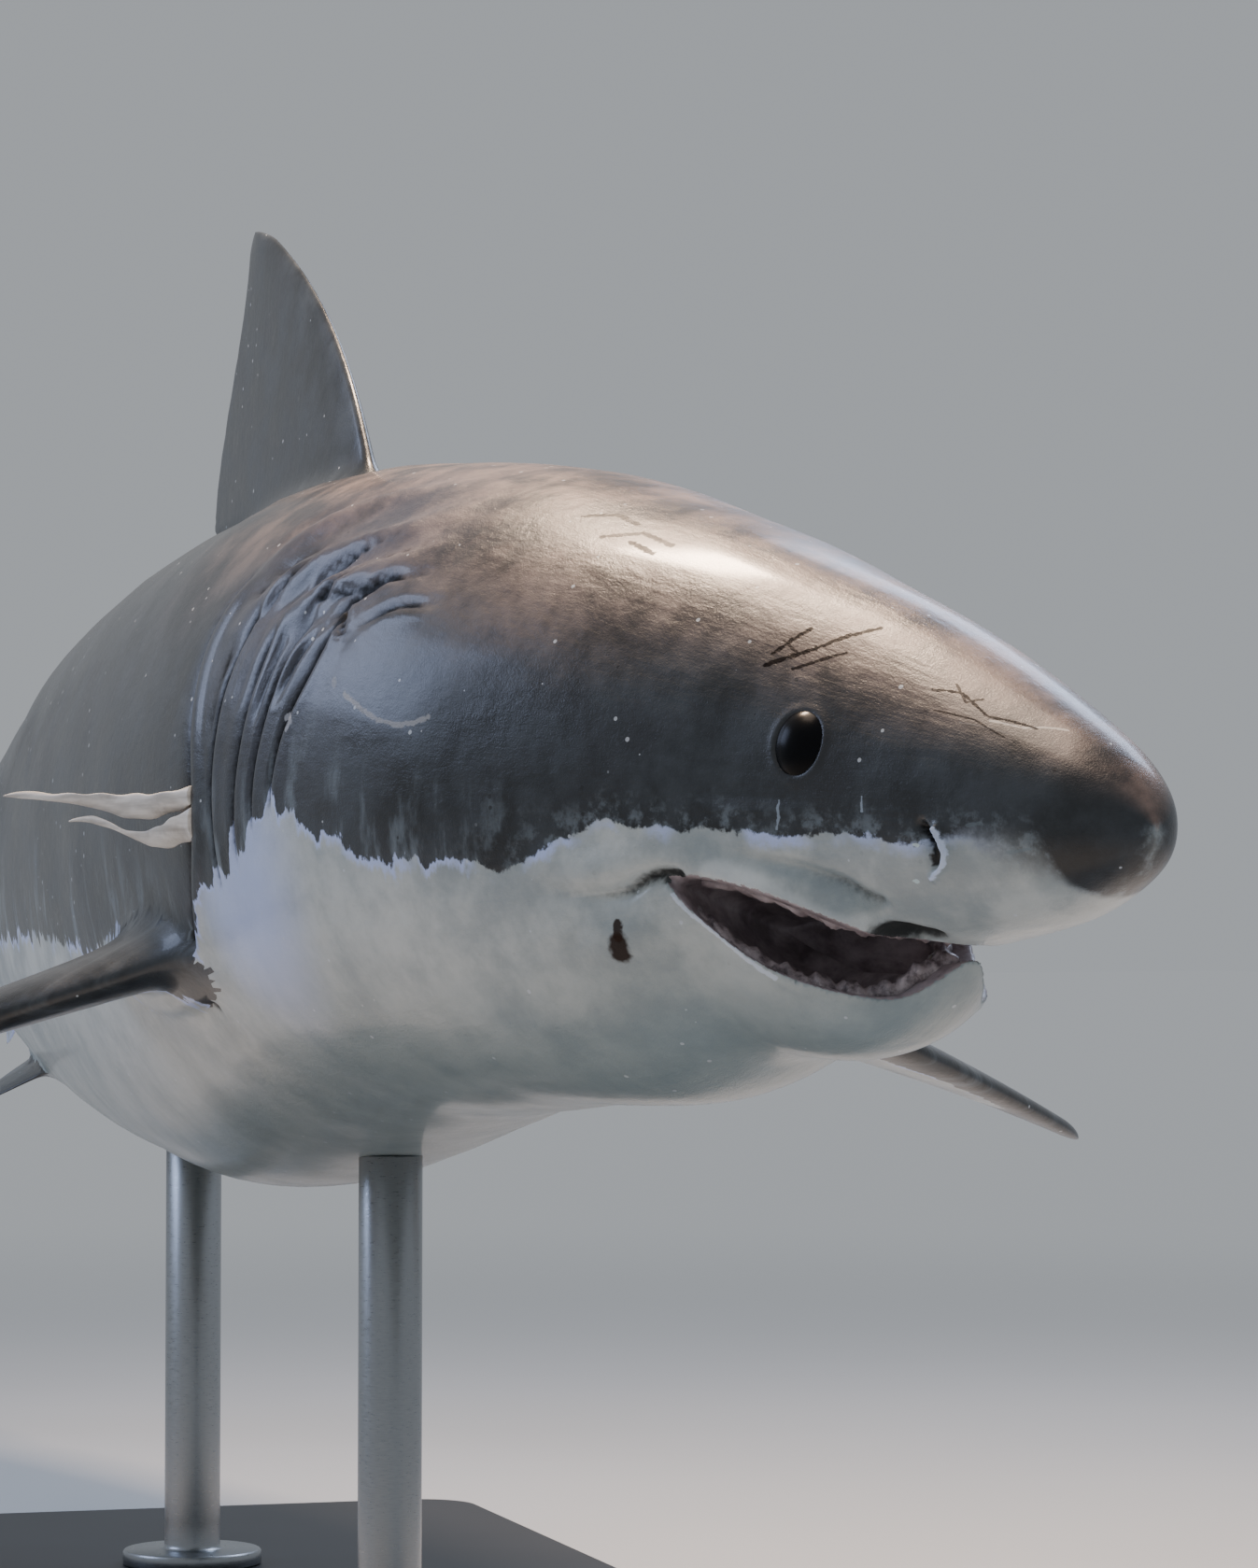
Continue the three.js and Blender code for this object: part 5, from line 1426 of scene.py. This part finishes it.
def shark_hide():
    """Countershaded shark hide: fine tooth-like scales under a wet film. The eye sees a dark
    slate back with a warm grey-brown cast on top of the head, partly painted warm light, a
    lilac painted sheen over the gills, a ragged edge with a bluish painted highlight under it,
    a pale belly that greys downward with painted shade, painted shade in creases and hollows,
    worn marks and specks, and a broad soft sheen that gouges and creases have lost."""
    made, add = new_material("countershaded_hide")
    on = hide_fields(add)
    edge, pale = hide_edge(add, on)
    back, belly = dark_side(add, on, edge), pale_side(add, on, edge)
    colour = add("Mix", {0: pale, 6: back, 7: belly}, 2, **COLOURS)
    colour, dull = hide_marks(add, on, colour)
    colour = hide_specks(add, on, pale, colour)
    bump = hide_grain(add, on)
    rough = add("MapRange", {"Value": on.mottle, "From Min": 0.3, "From Max": 0.7, "To Min": 0.28,
                             "To Max": 0.48})
    gloss = add("MapRange", {"Value": dull, "To Min": 0.5, "To Max": 0.04})
    film = add("MapRange", {"Value": dull, "To Min": 0.35, "To Max": 0.0})
    surface = add("BsdfPrincipled", {"Base Color": colour, "Roughness": rough, "Normal": bump,
                                     "IOR": 1.42, "Specular IOR Level": gloss,
                                     "Coat Weight": film, "Coat Roughness": 0.15})
    add("OutputMaterial", {"Surface": surface})
    return made


def wet_flesh(name, size, dark, light, depth):
    """Wet flesh of the mouth: plum, mottled over size metres, glossier than the hide."""
    made, add = new_material(name)
    spot = add("TexCoord", out="Object")
    blotch = add("TexNoise", {"Vector": spot, "Scale": 1 / size, "Detail": 5.0, "Roughness": 0.65})
    share = add("MapRange", {"Value": blotch, "From Min": 0.3, "From Max": 0.7}, **EASED)
    colour = add("Mix", {0: share, 6: linear(dark), 7: linear(light)}, 2, **COLOURS)
    lumps = add("TexNoise", {"Vector": spot, "Scale": 3 / size, "Detail": 4.0, "Roughness": 0.6})
    bump = add("Bump", {"Strength": 0.5, "Distance": depth, "Height": lumps})
    surface = add("BsdfPrincipled", {"Base Color": colour, "Roughness": 0.42, "Normal": bump,
                                     "IOR": 1.4, "Coat Weight": 0.2})
    add("OutputMaterial", {"Surface": surface})
    return made


def tooth_enamel():
    """Enamel: a dull dark ivory, smooth, with growth lines that run from root to tip."""
    made, add = new_material("tooth_enamel")
    lines = add("Mapping", {"Vector": add("TexCoord", out="Object"), "Scale": (1, 1, 0.2)})
    lines = add("TexNoise", {"Vector": lines, "Scale": 1 / 0.004, "Detail": 3.0})
    colour = add("Mix", {0: lines, 6: linear("#6f665a"), 7: linear("#a79f90")}, 2, **COLOURS)
    surface = add("BsdfPrincipled", {"Base Color": colour, "Roughness": 0.3, "IOR": 1.6})
    add("OutputMaterial", {"Surface": surface})
    return made


def black_eye():
    """Moist eyeball: near-black all over, a little bluer in patches, with a dull gloss."""
    made, add = new_material("moist_black_eye")
    depth = add("TexNoise", {"Vector": add("TexCoord", out="Object"), "Scale": 1 / 0.006,
                             "Detail": 3.0})
    colour = add("Mix", {0: depth, 6: linear("#030304"), 7: linear("#0b0d12")}, 2, **COLOURS)
    surface = add("BsdfPrincipled", {"Base Color": colour, "Roughness": 0.25,
                                     "Specular IOR Level": 0.1})
    add("OutputMaterial", {"Surface": surface})
    return made


def torn_hide():
    """Torn hide: the pale inner layer, fibrous along the strip, with grey and brown stains."""
    made, add = new_material("torn_hide")
    spot = add("TexCoord", out="Object")
    fibre = add("Mapping", {"Vector": spot, "Scale": (0.15, 0.15, 1)})
    fibre = add("TexNoise", {"Vector": fibre, "Scale": 1 / 0.007, "Detail": 3.0,
                             "Roughness": 0.55})
    share = add("MapRange", {"Value": fibre, "From Min": 0.3, "From Max": 0.7}, **EASED)
    colour = add("Mix", {0: share, 6: linear("#b5b2ad"), 7: linear("#dddbd7")}, 2, **COLOURS)
    stain = add("TexNoise", {"Vector": spot, "Scale": 1 / 0.03, "Detail": 4.0, "Roughness": 0.6})
    stain = add("MapRange", {"Value": stain, "From Min": 0.5, "From Max": 0.75, "To Max": 0.45},
                **EASED)
    colour = add("Mix", {0: stain, 6: colour, 7: linear("#6a6662")}, 2, **COLOURS)
    bump = add("Bump", {"Strength": 0.15, "Distance": 0.0004, "Height": fibre})
    surface = add("BsdfPrincipled", {"Base Color": colour, "Roughness": 0.42, "Normal": bump})
    add("OutputMaterial", {"Surface": surface})
    return made


def powder_coat():
    """Powder-coated steel plate: charcoal with a fine orange-peel bloom."""
    made, add = new_material("charcoal_powder_coat")
    spot = add("TexCoord", out="Object")
    tone = add("TexNoise", {"Vector": spot, "Scale": 1 / 0.2, "Detail": 3.0})
    colour = add("Mix", {0: tone, 6: linear("#2a2c2f"), 7: linear("#35373b")}, 2, **COLOURS)
    peel = add("TexNoise", {"Vector": spot, "Scale": 1 / 0.0022, "Detail": 2.0})
    bump = add("Bump", {"Strength": 0.25, "Distance": 0.0004, "Height": peel})
    surface = add("BsdfPrincipled", {"Base Color": colour, "Roughness": 0.48, "Normal": bump})
    add("OutputMaterial", {"Surface": surface})
    return made


def brushed_steel():
    """Brushed stainless rod: fine rings of brushing that spread the highlight."""
    made, add = new_material("brushed_stainless")
    rings = add("Mapping", {"Vector": add("TexCoord", out="Object"), "Scale": (0.15, 0.15, 1)})
    rings = add("TexNoise", {"Vector": rings, "Scale": 1 / 0.0012, "Detail": 3.0,
                             "Roughness": 0.6})
    colour = add("Mix", {0: rings, 6: linear("#8d9195"), 7: linear("#a9adb1")}, 2, **COLOURS)
    rough = add("MapRange", {"Value": rings, "From Min": 0.3, "From Max": 0.7, "To Min": 0.26,
                             "To Max": 0.42})
    surface = add("BsdfPrincipled", {"Base Color": colour, "Roughness": rough, "Metallic": 1.0})
    add("OutputMaterial", {"Surface": surface})
    return made


def studio_floor():
    """Matt pale studio floor. Far out it gives up the lamps' light for the backdrop's own glow, so
    that no horizon shows."""
    made, add = new_material("pale_studio_floor")
    spot = add("TexCoord", out="Object")
    away = add("VectorMath", {0: spot}, "Value", operation="LENGTH")
    tone = add("TexNoise", {"Vector": spot, "Scale": 1 / 0.9, "Detail": 2.0})
    near = add("Mix", {0: tone, 6: linear("#c2c5c7"), 7: linear("#cbcdcf")}, 2, **COLOURS)
    share = add("MapRange", {"Value": away, "From Min": 1.0, "From Max": 6.5}, **EASED)
    colour = add("Mix", {0: share, 6: near, 7: linear("#000000")}, 2, **COLOURS)
    glow = add("Math", {0: share, 1: BACKDROP_GLOW}, operation="MULTIPLY")
    surface = add("BsdfPrincipled", {"Base Color": colour, "Roughness": 0.95,
                                     "Specular IOR Level": 0.02,
                                     "Emission Color": linear(BACKDROP),
                                     "Emission Strength": glow})
    add("OutputMaterial", {"Surface": surface})
    return made


def dress(piece, *materials):
    """Gives a new piece its materials, in order, instead of any it has."""
    piece.data.materials.clear()
    for finish in materials:
        piece.data.materials.append(finish)


HIDE = shark_hide()
# the lining's colours are paler than wet flesh: painted light that lifts the shaded hollow of the
# mouth
LINING = wet_flesh("mouth_lining", 0.035, "#6d6267", "#b3a8ad", 0.0015)
GUM = wet_flesh("gum_flesh", 0.012, "#5b5156", "#c9bfc2", 0.0012)
dress(skin, HIDE, LINING)
lined = np.zeros(len(skin.data.polygons), np.int32)
skin.data.attributes["region"].data.foreach_get("value", lined)
skin.data.polygons.foreach_set("material_index", (lined == MOUTH).astype(np.int32))
EYE_FINISH, TORN, ENAMEL = black_eye(), torn_hide(), tooth_enamel()
for piece, finish in ((eye_left, EYE_FINISH), (eye_right, EYE_FINISH), (gum_upper, LINING),
                      (gum_lower, GUM), (teeth_upper, ENAMEL), (teeth_lower, ENAMEL),
                      (strip_upper, TORN), (strip_lower, TORN)):
    dress(piece, finish)
COAT, STEEL = powder_coat(), brushed_steel()
for piece, finish in ((plate, COAT), (rod_front, STEEL), (rod_rear, STEEL)):
    dress(piece, finish)

# ------------------------------------------------------------------ the frame's book-keeping
FLESH_NODES = ("head", "lower_jaw", "gill_region", "trunk_front", "trunk_rear", "tail_stock",
               "dorsal_first", "dorsal_second", "anal_fin", "pectoral_left", "pectoral_right",
               "pelvic_left", "pelvic_right", "caudal_upper", "caudal_lower")
for piece, slot, nodes in (
        (skin, "shark_skin", FLESH_NODES),
        (eye_left, "eye", ("eye_left",)), (eye_right, "eye", ("eye_right",)),
        (teeth_upper, "tooth_enamel", ()), (teeth_lower, "tooth_enamel", ()),
        (gum_upper, None, ()), (gum_lower, None, ()),
        (strip_upper, "torn_skin", ("skin_strip_upper",)),
        (strip_lower, "torn_skin", ("skin_strip_lower",)),
        (plate, "stand_paint", ("stand_base",)),
        (rod_front, "stand_steel", ("stand_rod_front",)),
        (rod_rear, "stand_steel", ("stand_rod_rear",))):
    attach(piece, "root")
    if nodes:
        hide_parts(*nodes)

# ------------------------------------------------------------------ floor, light and camera
floor = add_piece("floor", [(-40, -40, 0), (40, -40, 0), (40, 40, 0), (-40, 40, 0)],
                  [(0, 1, 2, 3)], shade_smooth=False)
dress(floor, studio_floor())

world = bpy.data.worlds.new("studio")
bpy.context.scene.world = world
world.use_nodes = True
world.node_tree.nodes["Background"].inputs["Color"].default_value = linear(BACKDROP)
world.node_tree.nodes["Background"].inputs["Strength"].default_value = BACKDROP_GLOW


def soft_box(name, spot, aim, size, power, code):
    """A rectangular soft light at spot, turned to aim."""
    lamp = bpy.data.lights.new(name, "AREA")
    lamp.shape, lamp.size, lamp.size_y = "RECTANGLE", *size
    lamp.energy = power
    lamp.color = linear(code)[:3]
    holder = bpy.data.objects.new(name, lamp)
    holder.location = spot
    holder.rotation_mode = "QUATERNION"
    holder.rotation_quaternion = (Vector(aim) - Vector(spot)).to_track_quat("-Z", "Y")
    bpy.context.scene.collection.objects.link(holder)


# The viewer stands off the right of the snout, a little below it, looking back along the head.
VIEW_SPOT = np.array([2581.4, -2427.5, -60.6])
VIEW_AHEAD = Vector((-0.79833, 0.60163, 0.02653)).normalized()
VIEW_UP = Vector((0.02007, -0.01745, 0.99965))
LENS = 110.92

snout = to_frame(place(0, 0, 0))
crown_point, crown_normal, _, _ = surface_frame(np.array(0.118), np.radians(25))
toward = unit(VIEW_SPOT - crown_point)
mirror = 2 * (toward @ crown_normal) * crown_normal - toward
crown_spot = to_frame(crown_point)
# The glint stands where the crown of the head mirrors it to the viewer.
soft_box("glint", crown_spot + 2.4 * mirror, crown_spot, (0.5, 0.35), 135, "#ffdfc0")
soft_box("overhead", crown_spot + [-0.25, -0.1, 2.4], crown_spot, (1.8, 1.2), 48, "#ffe6d0")
soft_box("flank_rim", snout + [-3.6, -2.2, 1.7], snout + [-1.3, 0.2, 0], (2.0, 1.4), 45, "#c3d4fb")
soft_box("back_rim", snout + [-2.0, 3.0, 2.4], snout + [-1.0, 0.2, 0.1], (2.4, 1.2), 60, "#d0e0ff")

camera = bpy.data.objects.new("camera", bpy.data.cameras.new("camera"))
camera.data.lens = LENS
camera.data.clip_end = 100
bpy.context.scene.collection.objects.link(camera)
aside = VIEW_AHEAD.cross(VIEW_UP).normalized()
level = aside.cross(VIEW_AHEAD)
turned = Matrix((aside, level, -VIEW_AHEAD)).transposed().to_4x4()
camera.matrix_world = Matrix.Translation(Vector(to_frame(VIEW_SPOT))) @ turned
bpy.context.scene.camera = camera
